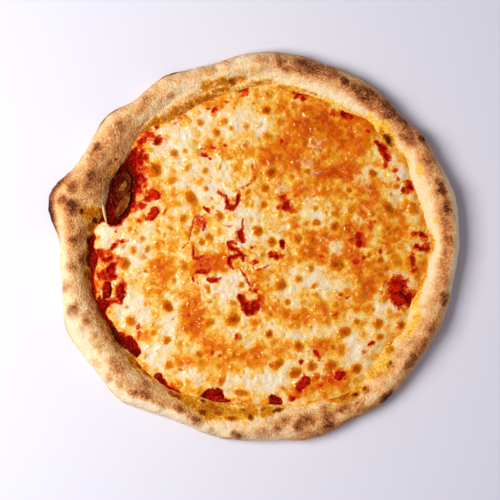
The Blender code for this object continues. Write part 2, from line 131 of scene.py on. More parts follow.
# Sauce showing in the cheese: (x, y, half width, half height, amount, turn). Below 0.5 it's an orange tinge.
SAUCE_SPOTS = (
    (92, 92, 4, 3, .75), (36, 121.5, 6, 2.4, .85), (76, 103, 4, 3, .9), (-87, 62, 7, 8, .6),
    (124, 44, 2, 3, .6), (-122, -7, 4, 4, .75), (-116, -4, 3, 3, .5), (-112, -1, 1.6, 4, .95, -35),
    (-119, -11, 3, 2, 1), (-114, -10, 3, 3, 1), (-114, -19, 3.6, 8, 1, -8), (-119, -22, 4, 4.5, .85),
    (-123, -23, 2.5, 3, .85), (-111, -24, 2.5, 3, .95), (-117, -33, 4, 7.5, .85),
    (-106, -36, 3.2, 9, 1, -5), (-103, -31, 2.4, 2.4, .6), (-119.5, -43, 2.6, 2.6, 1),
    (-112, -44, 5.5, 2, 1, 5), (-107, -11, 3, 5, .42), (-110, 12, 2, 2, .65), (-107, 19, 3, 3, .7),
    (-106, 4, 4, 2, .75), (-101, 4, 2.5, 1, .55), (-126, -33, 2.6, 8, .5, 8),
    (-92.5, -64.5, 1.6, 4.5, .9, -25), (-91, -70, 2, 4, .6), (-58, -99, 2, 2, .6),
    (-64, -112, 5, 3, .5, -30), (-90, 82, 5, 5, .85), (-84, 89, 5, 4, .6), (-57, 101, 6, 3, .4, 20),
    (-89, 76, 2.6, 3.4, .95), (-87, 72, 3.6, 3, .95), (-93, 68, 6, 6, .9, 20), (-91, 58, 6.5, 9, .92, 10),
    (-91, 48, 5, 4, .95, 30), (-86, 61, 5, 7, .5), (-77, 85, 3.2, 4, .95), (-78, 95, 2.6, 3, .85),
    (-70, 85, 2, 3, .45), (-82, 42, 4.6, 3, .95), (-77.5, 39, 3.6, 3, .9, 20), (-84, 36, 4, 4, .9),
    (-89, 33, 3, 2.5, .7), (-79.5, 27, 3.6, 4.8, .9, -35), (-83, 22, 3.4, 2.2, .95),
    (-92, 20, 1.8, 2.4, .65), (-97, 36, 2.5, 5, .85), (-95, 30, 2.5, 3, .6), (-71, 27, 1.5, 4, .45, -15),
    (-31.5, 109, 2.6, 3.4, .8, -40), (-36, 110, 1.6, 1, .8), (-22, 115, 2, 2, .5), (-64, 98, 2.5, 2.5, .5),
    (-61, 104, 4, 3, .45), (-10, 126, 5, 2.8, .95, 10), (-24, 124, 7, 1.4, .7, 20), (-8, 120, 4, 3, .5),
    (-39, 72, 3.4, 1.8, .9, -25), (-35, 70.5, 2.4, 1, .95, -20), (-33, 79, 5, 2.6, .75, -15),
    (-40, 78, 3, 2, .6), (-22, 80, 2.5, 1.4, .8), (-7, 80, 2, 2.4, .6), (35, 124, 5, 1.5, .95),
    (43, 121, 2.4, 3, .9), (40, 118, 2.6, 2, .8), (34, 119, 2, 1.6, .6), (63, 107, 3.6, 4, .7, -40),
    (72, 105.5, 6.4, 4, 1, -12), (67, 98, 3, 3, .55), (22, 84, 2, 2.6, .75), (30, 75, 5, 5, .45),
    (28, 33, 5, 5.5, .9, 10), (24, 38, 3, 3, .7), (34, 40, 2.6, 2.6, .6), (20, 32, 3, 2.6, .6),
    (31, 28, 3.4, 2.4, .55), (103, 79, 5.4, 3.2, 1, -45), (107, 72, 3.6, 3, .95, -50), (106, 65, 3, 3, .6),
    (125, 48, 2.6, 4.6, .95, 20), (120, 45, 2, 2, .8), (113, 60, 3.2, 1.7, .6, 30), (115, 55, 2, 2.6, .6),
    (128, 31, 4.6, 5, .34), (133, 10, 5, 2, .95, -20), (128, 9, 2.6, 3.2, .6), (132, -1, 6.4, 2.4, 1, -15),
    (139, -2, 3.2, 3.2, .85), (138, 4, 3, 4, .5), (127, -11, 2.4, 6, .66), (129, -19, 4, 2.6, .62),
    (79, 5, 4.6, 3.2, .9), (85, 8, 4.6, 4.6, .75), (84, 1, 4.4, 3.2, .76), (93, 15, 3.4, 6, .48, -30),
    (82, -12, 3, 3, .7), (87, -9, 3, 2.6, .6), (101, -4, 1.6, 2.2, .8), (116, -32, 10, 8, 1, 20),
    (119.5, -42, 8, 8.5, 1), (105, -38, 3, 6.4, .42, 15), (95, -77, 4.2, 1.9, .9, 20), (88, -85, 3, 3, .42),
    (51, -86, 2.4, 4.2, .9, 25), (41, -108, 3.4, 4.6, 1, -10), (36, -114, 3.4, 6, .95, -30),
    (31, -122, 4.6, 2.4, .95, 25), (69, -103, 6, 5.4, 1), (60, -106, 6.4, 6.4, .5),
    (50, -104, 3.6, 4.4, .5), (53, -111, 5.4, 3, .55), (38, -93, 2.4, 2, .9), (75, -41, 3, 1.6, .65, 20),
    (70, -39, 3, 1.6, .55), (65, -55, 3, 2, .55), (55, -8, 3, 2.4, .7), (-27.5, 43, 1.6, 1.6, .9),
    (-18, 30.5, 4, 2.8, 1), (-47, 26, 2, 2.6, .85), (-43, 21, 4.4, 4.4, .55), (-38, -13, 12, 6.4, .48),
    (-45, -15, 3.4, 3, .65), (-1, -50, 7, 3.6, 1, 8), (3, -48, 4, 4.2, 1), (1.6, -35.5, 4.2, 3.8, .95),
    (7, -41, 2.4, 5.4, .62, 10), (-5, -47, 3, 3.6, 1), (1, -45.6, 3, 2.4, .85), (4.6, -42, 2.6, 3.4, .85),
    (15, -6, 2.8, 2.6, 1), (18, -9, 3.8, 3.2, 1), (23, -8.5, 3.2, 2.2, .75), (1, -13.5, 4.2, 2.4, .9),
    (-1, -1, 1.4, 1.2, .6), (-11, 9, 2.6, 4.4, 1), (-50, -62, 3.4, 6, .5, 20), (-52, -55, 3, 4, .45),
    (-13, -73, 2.4, 3.4, .75), (-33, -85, 2, 2.4, .55), (-27, -87, 2, 2, .55), (14, -94, 3, 4, .5),
)
# Thin streaks of sauce between folds of cheese: (width, amount, points along it)
STREAKS = (
    (3.4, 1, ((-22, 40), (-21.5, 35), (-19.5, 31), (-16, 30), (-13.5, 34), (-12, 40))),
    (1.9, .9, ((-28, 43), (-25, 41), (-22, 40))),
    (1.3, .7, ((-12, 40), (-11, 45))),
    (2.8, .95, ((-39, 31), (-36, 29), (-34.5, 27))),
    (1.8, .8, ((-47, 24), (-49, 17), (-50, 11), (-51, 6), (-54, 1), (-57, -2))),
    (2.3, .85, ((-43, 22), (-39, 18), (-40, 13))),
    (2.2, 1, ((-48.5, 0), (-48, -5), (-48.5, -9))),
    (2.1, .95, ((-48.5, -9.5), (-44, -9.5), (-40, -8))),
    (4.2, .85, ((-46, -21), (-40, -20), (-35, -20))),
    (1.5, .9, ((-50, -23), (-46, -22))),
    (1.9, .95, ((-49, -24), (-48, -28))),
    (1.0, .8, ((-45, -27), (-44, -33))),
    (3.2, 1, ((-36, -26), (-33, -28.5), (-30, -26))),
    (1.7, .9, ((-30, -26), (-26, -25))),
    (1.9, 1, ((-8.5, 22), (-8.5, 16), (-10, 12))),
    (4.0, 1, ((-11, 11), (-10, 7), (-8.5, 4))),
    (1.5, .9, ((-14, 8), (-13.5, 5))),
    (3.7, 1, ((-20, 2), (-17, -2), (-12, -3.5))),
    (2.5, 1, ((-20, 2), (-17, 3.5), (-14, 2))),
    (3.7, 1, ((-12, -4), (-8, -7), (-8, -12))),
    (3.3, 1, ((-9, -7), (-14, -8), (-20, -9))),
    (3.1, 1, ((-20, -9), (-19, -14), (-16.5, -18))),
    (1.2, .6, ((-24, 16), (-18, 16.5), (-14, 17))),
    (1.1, .55, ((-22, 13), (-20, 12), (-15, 12.5))),
    (1.3, .7, ((-29, 7), (-26, 3), (-21, 1))),
    (1.8, .95, ((-10, -18), (-7, -22), (-5, -27), (-2.5, -31))),
    (1.4, .85, ((-3, -31), (3, -31))),
    (1.0, .5, ((-30, -37), (-20, -37), (-13, -38))),
    (5, 1, ((-11.8, -39), (-8, -45), (-5, -53))),
    (3.4, 1, ((22.5, 4), (24, -1))),
    (1.3, .7, ((24, -1), (25.5, -5))),
    (1.6, .85, ((17, -11), (13, -15), (7, -18), (2, -19), (-1, -16))),
    (1.0, .6, ((-2, -2), (0, 1))),
    (1.0, .6, ((0, 0), (5, 0))),
    (2.6, .5, ((-1, 69), (0, 61), (1.5, 54), (-4, 49), (-12, 45.5))),
    (4.4, 1, ((97, 84), (101, 80), (105, 74), (107, 70))),
)
# Pale ridges of cheese that stand up beside the sauce: (width, points along it)
RIDGES = (
    (2.4, ((-12.5, -36), (-11.5, -41), (-9, -51), (-8, -63))),
    (1.4, (
        (-37, -27), (-33, -31), (-32, -37), (-35, -43),
        (-39.5, -42.5), (-42, -36), (-40.5, -29.5), (-37, -27),
    )),
    (1.1, ((-35, -43), (-38, -47), (-43, -50))),
    (2.4, ((107.4, -31), (110.5, -44), (113, -52))),
    (1.4, ((-15, -38), (-25, -36), (-32, -37))),
    (9, ((-121, 13), (-118, 8), (-120, 2))),
    (2.2, ((37, -86.5), (40, -82.5), (44, -81.8), (48, -85))),
    (2, ((56, -96), (54.5, -102), (53, -108))),
    (1.8, ((33, -109), (36, -105.5), (41, -102.5))),
    (1.6, ((-36, 105), (-32, 112), (-27, 107))),
)
# Where the cheese is drawn into fine pale fibres: (x, y, reach)
FIBRES = (
    (-52, -102, 7), (43, 63, 6), (50, 80, 5), (87, 54, 7), (111, 42, 7), (45, 35, 5), (85, 21, 6),
    (64, 0, 6), (24, 46, 5), (-72, -66, 5), (-94, -63, 5), (-88, 92, 5), (114, -22, 4), (90, -82, 5),
)
# Browned spots on the crust: (angle, radius, half length round the rim, half width across it, darkness)
RIM_SPOTS = (
    (12, 157, 6, 3, .95), (17, 156.5, 8, 3, .9), (8, 160, 4, 2, .6), (32.5, 158, 4, 2.4, .8),
    (35, 149, 8, 5, .7), (38.7, 137, 6, 3.6, 1), (44, 153, 13, 5, .85), (54, 149, 13, 6, .85),
    (61, 149.5, 4, 3, .95), (73, 149, 12, 7, .85), (76, 150, 6, 4, .9), (82, 149, 4, 5, .9),
    (79.5, 142, 4, 3, .6), (98, 147, 5, 3, .4), (104, 144, 5, 3, .4), (119, 137, 3, 2, .6),
    (127, 143, 7, 4, .5), (148.5, 147, 5, 4, .8), (138.5, 141, 5, 4, .7), (157, 141, 5, 4, .7),
    (160, 141, 4, 3, .6), (162, 152, 4, 4, .7), (166.5, 157.5, 4, 4, .8), (168, 147.5, 5, 5, 1),
    (178, 144, 4, 6, .75), (176, 138, 4, 4, .5), (184.5, 136, 5, 3, .8), (192, 153, 4, 4, .9),
    (199.3, 153, 5, 4.4, 1.2), (203.5, 145, 6, 4, .9), (212, 146, 9, 5, .6), (220, 144, 8, 5, .6),
    (217, 155, 5, 3, .6), (222, 155, 4, 3, .6), (226, 154, 5, 4, .5), (231, 151, 4, 4, .75),
    (232, 141, 4, 3, .6), (234, 146, 6, 4, .6), (246, 142, 4, 3, .7), (251.5, 146, 5.5, 4, 1.25),
    (257, 151, 5, 3, .5), (265, 151, 6, 3.4, 1.25), (277, 146, 5, 4, .8), (280, 141, 4, 3, .7),
    (284, 148, 5, 4, .9), (287, 144.5, 8, 5, .85), (293, 150, 6, 6, .8), (294, 142, 4, 3, .6),
    (304, 153, 5, 4, .7), (304, 143.5, 5, 3, 1), (307.5, 144, 4, 4, 1), (311.5, 159, 5, 3, .9),
    (317, 144, 6, 3, .8), (324, 154, 9, 3.4, .75), (329, 154.5, 8, 3.4, .65), (335, 155, 6, 4, .6),
    (344, 157.5, 5, 4, 1.25), (322, 137, 4, 3, .6), (331, 136, 4, 3, .6), (2, 158, 4, 3, .3),
    (350, 157, 5, 3, .3), (26, 153, 6, 4, .5), (66, 152, 8, 4, .6), (88, 148, 7, 4, .6),
    (299, 148, 6, 5, .6), (272, 149, 7, 4, .5), (240, 149, 5, 3, .4), (206, 153, 6, 4, .5),
    (187, 147, 5, 4, .4),
)
# Where oil has soaked into the rim's inner slope: (angle, radius, half length, half width, amount, darkness).
# The darkest rows round 178° to 185° along the foot also paint the shade under the rim's inner wall.
RIM_OIL = (
    (94.5, 133.5, 7, 4, .8, .4), (97.4, 132, 5, 4, 1, .75), (101, 133, 7, 5, .8, .32),
    (105.7, 133, 8, 5, .75, .28), (101, 127.5, 8, 2.6, .9, .5), (108.8, 124, 10, 4, .8, .44),
    (113.8, 124, 9, 4, .8, .46), (119, 124, 9, 4.4, .8, .44), (124, 125, 8, 4.4, .6, .4),
    (128, 127, 7, 3.4, .8, .4), (110.5, 129, 12, 4, .5, .25), (148, 129.5, 2.6, 2, .6, .6),
    (151, 126, 7, 3, .9, .4), (168.5, 131.5, 8, 8, 1, .48), (168.8, 139.5, 3.5, 2.5, 1, .85),
    (171, 128.6, 3, 2.6, 1, .95), (166.6, 125.4, 3, 3, 1, .55), (173.4, 131, 4, 3, 1, .6),
    (178.2, 131, 7, 2.8, 1, .9), (184.4, 131, 9, 3, 1, .9), (189.3, 135.8, 4, 2.5, .9, .45),
    (191, 133.5, 8, 2.2, .9, .6), (196, 133, 9, 1.8, .8, .6), (203, 133.5, 7, 1.8, .7, .6),
    (212, 134, 9, 1.6, .6, .5), (215, 131, 14, 2.6, .9, .85), (223.5, 133.7, 7, 3, 1, .4),
    (226, 132.3, 5, 3, 1, .6), (230.5, 132.3, 5, 2.5, .8, .5), (242.5, 134.5, 8, 1.8, .9, .6),
    (248, 134, 9, 4.5, .9, .3), (255, 135, 11, 7, 1, .36), (262.5, 135, 11, 7, 1, .26),
    (269, 132.5, 9, 5.5, 1, .36), (275, 132.5, 8, 4.5, .9, .32), (256, 132, 6, 4, 1, .62),
    (253, 138, 4, 2.6, 1, .75), (258, 136, 4, 2.6, 1, .66), (252, 130.3, 3.5, 1.6, 1, .75),
    (262.5, 138, 5, 2.4, 1, .72), (266.5, 131, 3, 1.5, 1, .65), (269.2, 136, 3, 2.6, 1, .68),
    (273.5, 130.3, 3, 1.6, 1, .6), (278.3, 132.4, 5, 2, 1, .8), (290, 131, 7, 3.5, 1, 0),
    (300, 137.5, 12, 7, 1, .5), (316, 138, 14, 6, .8, .08), (348, 137.5, 8, 2.5, .9, .25),
    (319.3, 143, 4, 2, .7, .6), (314, 143.5, 5, 3, .4, .3), (322.5, 136.5, 6, 3.2, .95, .28),
    (304.5, 143.6, 3.4, 2.2, 1, .9), (307.8, 144, 2.8, 2.2, 1, .9), (306, 141, 9, 6, .75, .15),
    (309, 136.5, 4, 3, .9, .35), (330, 140, 9, 5, .5, 0), (336, 141.5, 9, 3, .9, .1),
    (342, 136, 12, 4, .85, .06), (8, 146, 3, 2.6, .7, .15), (24.5, 145, 6, 4, .66, 0),
    (30.3, 139, 5, 2, .9, .4), (33, 138, 8, 2.4, .9, .15), (42.5, 140.5, 8, 4, 1, .08),
    (38.7, 137, 6, 2.9, 1, .95), (38.7, 137.4, 10, 5, 1, .28), (1, 141, 9, 4, 1, .3),
    (77, 137, 10, 5, .3, 0), (46, 138, 9, 4, .8, .02), (80, 129, 5, 2, .8, .35),
    (333, 141.5, 10, 2.6, .8, .08), (352, 139.5, 8, 1.6, .8, .3), (92, 136, 12, 7, .34, 0),
    (308, 137, 9, 3, .8, .1), (323, 134, 8, 3, .7, .1), (297, 133, 6, 3, .8, .25), (71, 131, 12, 1, .7, .3),
    (84.5, 132.5, 6, 3, .75, .35), (88.5, 130.5, 6, 2.6, .8, .4), (103.5, 128, 7, 2.6, .8, .5),
)
# How far the rim's toe creeps in over the sauce: (angle, millimetres)
TOE = (
    (0, 0), (33, 0), (40, 2.5), (48, 0), (54, 1), (62, 2), (70, 2.5), (80, 4), (90, 2.5), (95, 4), (100, 3),
    (105, 4), (110, 5.5), (115, 7), (124, 7), (128, 4), (132, 1.5), (136, 0), (181, 0), (185, 2.5),
    (190, 2), (197, 0), (216, 0), (222, 3), (232, 3), (238, 0), (247, 1), (250, 1.5), (256, 0), (261, .5),
    (268, 3.5), (274, 2.5), (280, 1), (290, 0), (360, 0),
)
# Where the rim is browner or paler: (angle, half width in degrees, share across it, half share, browning and
# shade, flour and light). A share of 0 is the rim's foot and 1 its outermost line.
# Painted shade: the browner rows near the foot round 150°, beside the hollow. Painted light: the pale, less
# brown rows on the outermost line round 0° to 10°, light thrown back from the floor.
RIM_ZONES = (
    (18, 24, .28, .2, -.1, .1), (345, 20, .26, .22, -.12, .2), (66, 24, .25, .2, -.16, .25),
    (100, 26, .6, .45, -.05, .1), (0, 40, .6, .2, .04, -.1), (3, 26, .95, .2, -.16, .3),
    (8, 32, 1.04, .12, -.2, .6), (47, 9, .42, .2, .14, -.3), (75, 20, .4, .15, .08, -.15),
    (155, 26, .5, .28, .16, -.3), (180, 14, .4, .3, .14, -.2), (242, 16, .5, .2, .14, -.2),
    (215, 20, .5, .2, .08, -.1), (205, 30, .85, .25, -.1, .2), (240, 20, .85, .2, -.04, .2),
    (270, 22, .8, .35, -.06, .3), (300, 12, .7, .3, 0, 0), (60, 30, .78, .22, .06, -.1),
    (335, 25, .9, .2, .06, -.1), (122, 20, .8, .35, .02, 0), (290, 10, .55, .3, .08, 0),
    (90, 14, .35, .35, -.08, 0), (118, 16, .35, .3, -.12, .1), (150, 12, .65, .25, .08, -.15),
    (297, 18, .92, .2, .26, -.4), (150, 18, .15, .2, .2, -.3), (210, 12, .5, .25, -.1, .1),
    (240, 12, .72, .18, -.14, .1), (0, 20, .62, .16, .2, -.3), (330, 12, .3, .15, .1, -.2),
    (120, 14, .65, .3, .04, -.1), (90, 14, .9, .2, -.12, .1), (60, 10, .7, .2, .12, -.1),
    (30, 14, .9, .2, .12, -.1), (60, 10, .9, .12, -.14, .15), (0, 16, .45, .15, .1, -.25),
    (2, 18, .88, .14, -.12, .18), (350, 12, .65, .2, -.1, .1), (288, 16, .6, .35, .05, -.1),
    (120, 14, .08, .15, .12, -.2), (270, 12, .35, .2, -.1, .1), (210, 14, .12, .12, .2, -.2),
    (210, 12, .6, .25, -.16, .15), (240, 12, .5, .15, .06, -.1), (240, 14, .82, .2, -.12, .1),
    (300, 10, .72, .2, -.22, .1),
)
# Where the crust's outermost lip has scorched: (angle, half width in degrees, width across it, browning)
SCORCHED_LIPS = (
    (166, 8, 7, .62), (173, 5, 4, .45), (138, 5, 1.8, .5), (116.5, 3.5, 1.8, .7), (205, 5, 1.4, .3),
    (226, 6, 1.2, .25), (311.5, 2.5, 3, .35), (264, 4, 2, .3),
)
# How each piece of tomato lies: (turn, length over width, tone), in the order of their names
TORN_PIECES = (
    (28, 1.6, .58), (-50, 1, .5), (0, 1.1, .46), (84, 1.8, .36), (74, 2, .4), (-30, 1.4, .74),
    (52, 1.9, .7), (52, 1.5, .54),
)
# Thin folds and lips of dough in and round the hollow: (name, height, curl, tone, widths, points along it)
FILMS = (
    ("pocket_leaf", 7.4, .5, .36, (.8, 5, 7.5, 6, 1), ((-98.5, 44), (-102, 37), (-106, 30), (-110, 22.5))),
    ("pocket_sheet", 6.3, .4, .12, (3, 9, 10, 7, 3), ((-103, 60), (-102, 52), (-104, 45), (-109, 38))),
    ("pocket_fold", 7.6, -.3, .46, (1, 3.6, 4.4, 1), ((-108, 44.5), (-105, 46), (-103, 49), (-102.5, 53))),
    ("pocket_lip", 9, -1.2, .95, (.8, 2.2, 2.6, 2.2, .6),
     ((-121.5, 39), (-120.3, 32), (-119, 25), (-117, 17))),
    ("pocket_lip_upper", 9.4, -1.5, .72, (1, 4.5, 5, 1.5),
     ((-106.5, 69), (-109, 65), (-111.5, 60), (-113, 56))),
)

# ---------------------------------------------------------------- sizes
HALF_SPAN = 175.0  # of the square that the maps cover
CELL = 0.5  # of the square grid that the maps are painted on
COVER_CELL = 1.0  # of the coarser grid on which the CAD cheese is felt from above
ABOVE = 50.0  # a height over everything, from which rays are cast down
FAR_OUT = 220.0  # a radius beyond everything, from which rays are cast inwards
SHEET_SPACING = 0.86  # between the cheese's points
SAUCE_SPACING = 1.05
TOMATO_SPACING = 0.36
CRUST_TURN_STEPS = 900  # points round the rim
CRUST_RAYS = 110  # cast at each section of the rim
CRUST_STEPS = 76  # points kept across it
CRUST_CORE_HEIGHT = 7.0  # of the line inside the rim that those rays start from
CRUST_PAST_FOOT = 11.0  # how far the rim's sections run in over the dough's flat floor
UNDERSIDE_RINGS = (0.97, 0.8, 0.5, 0.2)  # radii of the rings that close the crust, as shares of its first
FLOOR_RINGS = (0.8, 0.5, 0.2)
FIRE_AND_SHADE_SIDE = 20  # the angle of the side that faced the fire and is turned from the window light
TOE_HEIGHT, TOE_RISE, TOE_SLOPE = 5.2, 3.4, 0.12
SAUCE_TOP = 5.6
SAUCE_FLOOR = 4.15
CHEESE_TOP = 8.1
CHEESE_FLOOR = SAUCE_FLOOR + 0.1
CHEESE_EDGE = SAUCE_TOP - 1.2  # the cheese's height where it has sunk under the sauce
RIM_REACH = 3.0  # how far the sheets run on into the rim
FILM_THICKNESS = 0.9
SMALL_BLISTER_TRIES = 560

# ---------------------------------------------------------------- seeds
# Each oval takes the first seed of its table plus its number in it, so rows are added at a table's end.
SMALL_BLISTERS_FROM = 1000
OIL_ZONES_FROM = 300
OPENINGS_FROM = 400
CURDS_FROM = 450
SAUCE_SPOTS_FROM = 500
RIM_SPOTS_FROM = 800
RIM_OIL_FROM = 900
TOMATO_FROM = 60
FILMS_FROM = 71
BLISTER_DICE = 7
FIBRE_DICE = 9


# ---------------------------------------------------------------- noise
def hashed(ix, iy, iz, seed):
    """A number from 0 to 1 for each point of a lattice, the same every time."""
    h = (ix * 374761393 + iy * 668265263 + iz * 1440662683 + seed * 1013904223) & 0xFFFFFFFF
    h = ((h ^ (h >> 13)) * 1274126177) & 0xFFFFFFFF
    h = ((h ^ (h >> 16)) * 1103515245) & 0xFFFFFFFF
    return ((h ^ (h >> 15)) & 0xFFFFFF) / 0xFFFFFF


def ease(t):
    t = np.clip(t, 0, 1)
    return t * t * (3 - 2 * t)


def step(low, high, value):
    """0 below low, 1 above high, smooth between; low may be the larger."""
    return ease((value - low) / (high - low))


def lump_noise(size, seed, *axes):
    """Smooth noise from -1 to 1 in two or three dimensions, with lumps about this size."""
    cells, shares = [], []
    for axis in axes:
        scaled = np.asarray(axis, float) / size + 0.37 * seed
        cell = np.floor(scaled)
        cells.append(cell.astype(np.int64))
        shares.append(ease(scaled - cell))
    total = 0
    for corner in range(2 ** len(axes)):
        offsets = [(corner >> k) & 1 for k in range(len(axes))]
        weight = 1
        for share, offset in zip(shares, offsets):
            weight = weight * (share if offset else 1 - share)
        lattice = [cell + offset for cell, offset in zip(cells, offsets)]
        total = total + weight * hashed(lattice[0], lattice[1], lattice[2] if len(axes) == 3 else 0, seed)
    return 2 * total - 1


def rough_noise(size, seed, *axes, octaves=3):
    """Noise with finer noise on it, from about -1 to 1."""
    total, weight = 0, 1
    for octave in range(octaves):
        total = total + weight * lump_noise(size / 2.1 ** octave, seed + 17 * octave, *axes)
        weight *= 0.55
    return total / 1.5


# ---------------------------------------------------------------- maps seen from above
SPAN = np.arange(-HALF_SPAN, HALF_SPAN + CELL / 2, CELL)
MAP_X, MAP_Y = np.meshgrid(SPAN, SPAN)
MAP_RADIUS = np.hypot(MAP_X, MAP_Y)


def blank():
    return np.zeros_like(MAP_X)


def window(x, y, reach):
    """The part of the maps within this reach of a point."""
    def span(middle):
        low = int((middle - reach + HALF_SPAN) / CELL)
        return slice(max(low, 0), max(low + int(2 * reach / CELL) + 2, 0))
    return span(y), span(x)


def window_round(points, margin):
    """The part of the maps round these points."""
    (left, low), (right, high) = np.min(points, axis=0), np.max(points, axis=0)
    return window((left + right) / 2, (low + high) / 2, max(right - left, high - low) / 2 + margin)


def oval_distance(x, y, across, along, turn=0.0, waviness=0.0, seed=0):
    """Where the window round an oval lies, and how far out each of its points is: 1 is the oval's edge."""
    part = window(x, y, 2.2 * max(across, along) + 3)
    dx, dy = MAP_X[part] - x, MAP_Y[part] - y
    c, s = math.cos(math.radians(turn)), math.sin(math.radians(turn))
    out = np.hypot((dx * c + dy * s) / across, (dy * c - dx * s) / along)
    if waviness:
        out = out + waviness * lump_noise(0.9 * min(across, along) + 0.8, seed, MAP_X[part], MAP_Y[part])
        out = out + 0.4 * waviness * lump_noise(1.4, seed + 1, MAP_X[part], MAP_Y[part])
    return part, out


def on_circle(angle, radius):
    """The place, or the places, at this angle and radius."""
    turned = np.radians(angle)
    return radius * np.cos(turned), radius * np.sin(turned)


def spread(grid, axis, steps, reach, mode="edge"):
    """Each point of a grid spread over its neighbours along one axis, by a bell of this many steps."""
    weights = np.exp(-((np.arange(-reach, reach + 1) / steps) ** 2))
    weights /= weights.sum()
    margins = [(reach, reach) if a == axis else (0, 0) for a in range(grid.ndim)]
    padded = np.pad(grid, margins, mode=mode)
    count = grid.shape[axis]
    return sum(w * np.take(padded, range(k, k + count), axis=axis) for k, w in enumerate(weights))


def blurred(image, size):
    """The map with each point spread over a bell of this size, in millimetres."""
    for axis in (0, 1):
        image = spread(image, axis, size / CELL, math.ceil(2.5 * size / CELL))
    return image


def sampled(image, x, y):
    """The map's value at each of these places, between its points."""
    u = np.clip((x + HALF_SPAN) / CELL, 0, len(SPAN) - 1.001)
    v = np.clip((y + HALF_SPAN) / CELL, 0, len(SPAN) - 1.001)
    i, j = u.astype(int), v.astype(int)
    fu, fv = u - i, v - j
    upper = image[j, i] * (1 - fu) + image[j, i + 1] * fu
    lower = image[j + 1, i] * (1 - fu) + image[j + 1, i + 1] * fu
    return upper * (1 - fv) + lower * fv


def distance_to_line(x, y, points):
    """Distance from each place to a line through the points, and how far along it that is, from 0 to 1."""
    best = np.full(x.shape, 1e9)
    share = np.zeros(x.shape)
    spans = len(points) - 1
    for k, ((ax, ay), (bx, by)) in enumerate(zip(points, points[1:])):
        length2 = (bx - ax) ** 2 + (by - ay) ** 2
        t = np.clip(((x - ax) * (bx - ax) + (y - ay) * (by - ay)) / length2, 0, 1)
        away = np.hypot(x - ax - t * (bx - ax), y - ay - t * (by - ay))
        share = np.where(away < best, (k + t) / spans, share)
        best = np.minimum(best, away)
    return best, share


# ---------------------------------------------------------------- what the CAD solids say
def tree_of(node):
    return BVHTree.FromObject(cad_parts[node], bpy.context.evaluated_depsgraph_get())


def cast(tree, start, direction):
    """Where a ray meets the solid, in millimetres, or None."""
    found = tree.ray_cast(Vector(start) * MM, Vector(direction))[0]
    return None if found is None else np.array(found) / MM


def foot_by_angle():
    """The radius at which the rim rises from the dough's flat floor, which is where the CAD sauce ends."""
    co = np.array([v.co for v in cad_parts["tomato_sauce"].data.vertices]) / MM
    radius, angle = np.hypot(co[:, 0], co[:, 1]), np.degrees(np.arctan2(co[:, 1], co[:, 0]))
    edge = radius > 0.88 * radius.max()  # the points of its outline, not those of its gaps
    order = np.argsort(angle[edge])
    return angle[edge][order], radius[edge][order] + 0.6


FOOT_ANGLES, FOOT_RADII = foot_by_angle()


def foot_radius(angle):
    """The radius of the rim's foot at this angle."""
    return np.interp((np.asarray(angle) + 180) % 360 - 180, FOOT_ANGLES, FOOT_RADII, period=360)


def edge_radius(angle):
    """The radius at which the topping ends, under the rim's toe."""
    return foot_radius(angle) - toe(angle)


def toe(angle):
    """How far the rim's toe creeps in at this angle."""
    angles, reach = zip(*TOE)
    return np.interp(np.asarray(angle) % 360, angles, reach)


def cheese_cover():
    """1 where the CAD cheese lies, 0 in its bays and gaps and on the rim."""
    tree = tree_of("mozzarella")
    places = np.arange(-HALF_SPAN, HALF_SPAN + COVER_CELL / 2, COVER_CELL)
    coarse = np.zeros((len(places), len(places)))
    low, high = (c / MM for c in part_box("mozzarella"))
    for j, y in enumerate(places):
        if low.y < y < high.y:
            for i, x in enumerate(places):
                if low.x < x < high.x:
                    coarse[j, i] = cast(tree, (x, y, ABOVE), (0, 0, -1)) is not None
    ratio = COVER_CELL / CELL
    index = np.clip(np.round(np.arange(len(SPAN)) / ratio).astype(int), 0, len(places) - 1)
    return coarse[np.ix_(index, index)]


# ---------------------------------------------------------------- painting the maps
def paint(target, part, value):
    """Part of a map painted over, the stronger kept at each point."""
    target[part] = np.maximum(target[part], value)


def paint_spots(target, spots, waviness, seed, hard=0.45):
    """Ovals with wavy, soft edges painted on a map, the strongest kept where they overlap."""
    for number, (x, y, across, along, amount, *turn) in enumerate(spots):
        part, out = oval_distance(x, y, across, along, *turn, waviness=waviness, seed=seed + number)
        paint(target, part, amount * step(1.5, hard, out))


def paint_streaks(target, height, pale):
    """Thin bent streaks of sauce, with a pale raised fold of cheese on each side."""
    bent_x = MAP_X + 0.7 * lump_noise(4.5, 700, MAP_X, MAP_Y)
    bent_y = MAP_Y + 0.7 * lump_noise(4.5, 701, MAP_X, MAP_Y)
    swell = 0.8 + 0.45 * lump_noise(3, 702, MAP_X, MAP_Y)
    for width, amount, points in STREAKS:
        part = window_round(points, 8)
        away, share = distance_to_line(bent_x[part], bent_y[part], points)
        out = away / (0.5 * width * swell[part] * (1.15 - 0.7 * abs(share - 0.5)))
        depth = amount * (0.55 + 0.45 * step(0.8, 3.0, width))
        paint(target, part, depth * step(1.8, 0.5, out))
        beside = np.exp(-((out - 2.2) / 0.7) ** 2)
        height[part] += 0.35 * amount * beside
        paint(pale, part, 0.9 * amount * beside)


def paint_ridge(maps, width, points, amount):
    """A pale ridge along a bent line."""
    part = window_round(points, 2 * width)
    away = distance_to_line(MAP_X[part], MAP_Y[part], points)[0]
    ridge = amount * np.exp(-(away / (0.5 * width)) ** 2)
    maps["height"][part] += 0.4 * ridge
    paint(maps["fibre"], part, ridge)


def paint_fibres(maps, random):
    """Short bent ridges, strewn about the places where the cheese is drawn into fibres."""
    for x, y, reach in FIBRES:
        for _ in range(int(2.4 * reach)):
            start = (x, y) + 0.5 * reach * random.normal(size=2)
            turn, length = random.uniform(0, 360), random.uniform(1.5, 4)
            middle = start + length * np.array(on_circle(turn, 1))
            end = middle + length * np.array(on_circle(turn + random.uniform(-60, 60), 1))
            paint_ridge(maps, random.uniform(0.8, 1.3), (start, middle, end), random.uniform(0.5, 1))


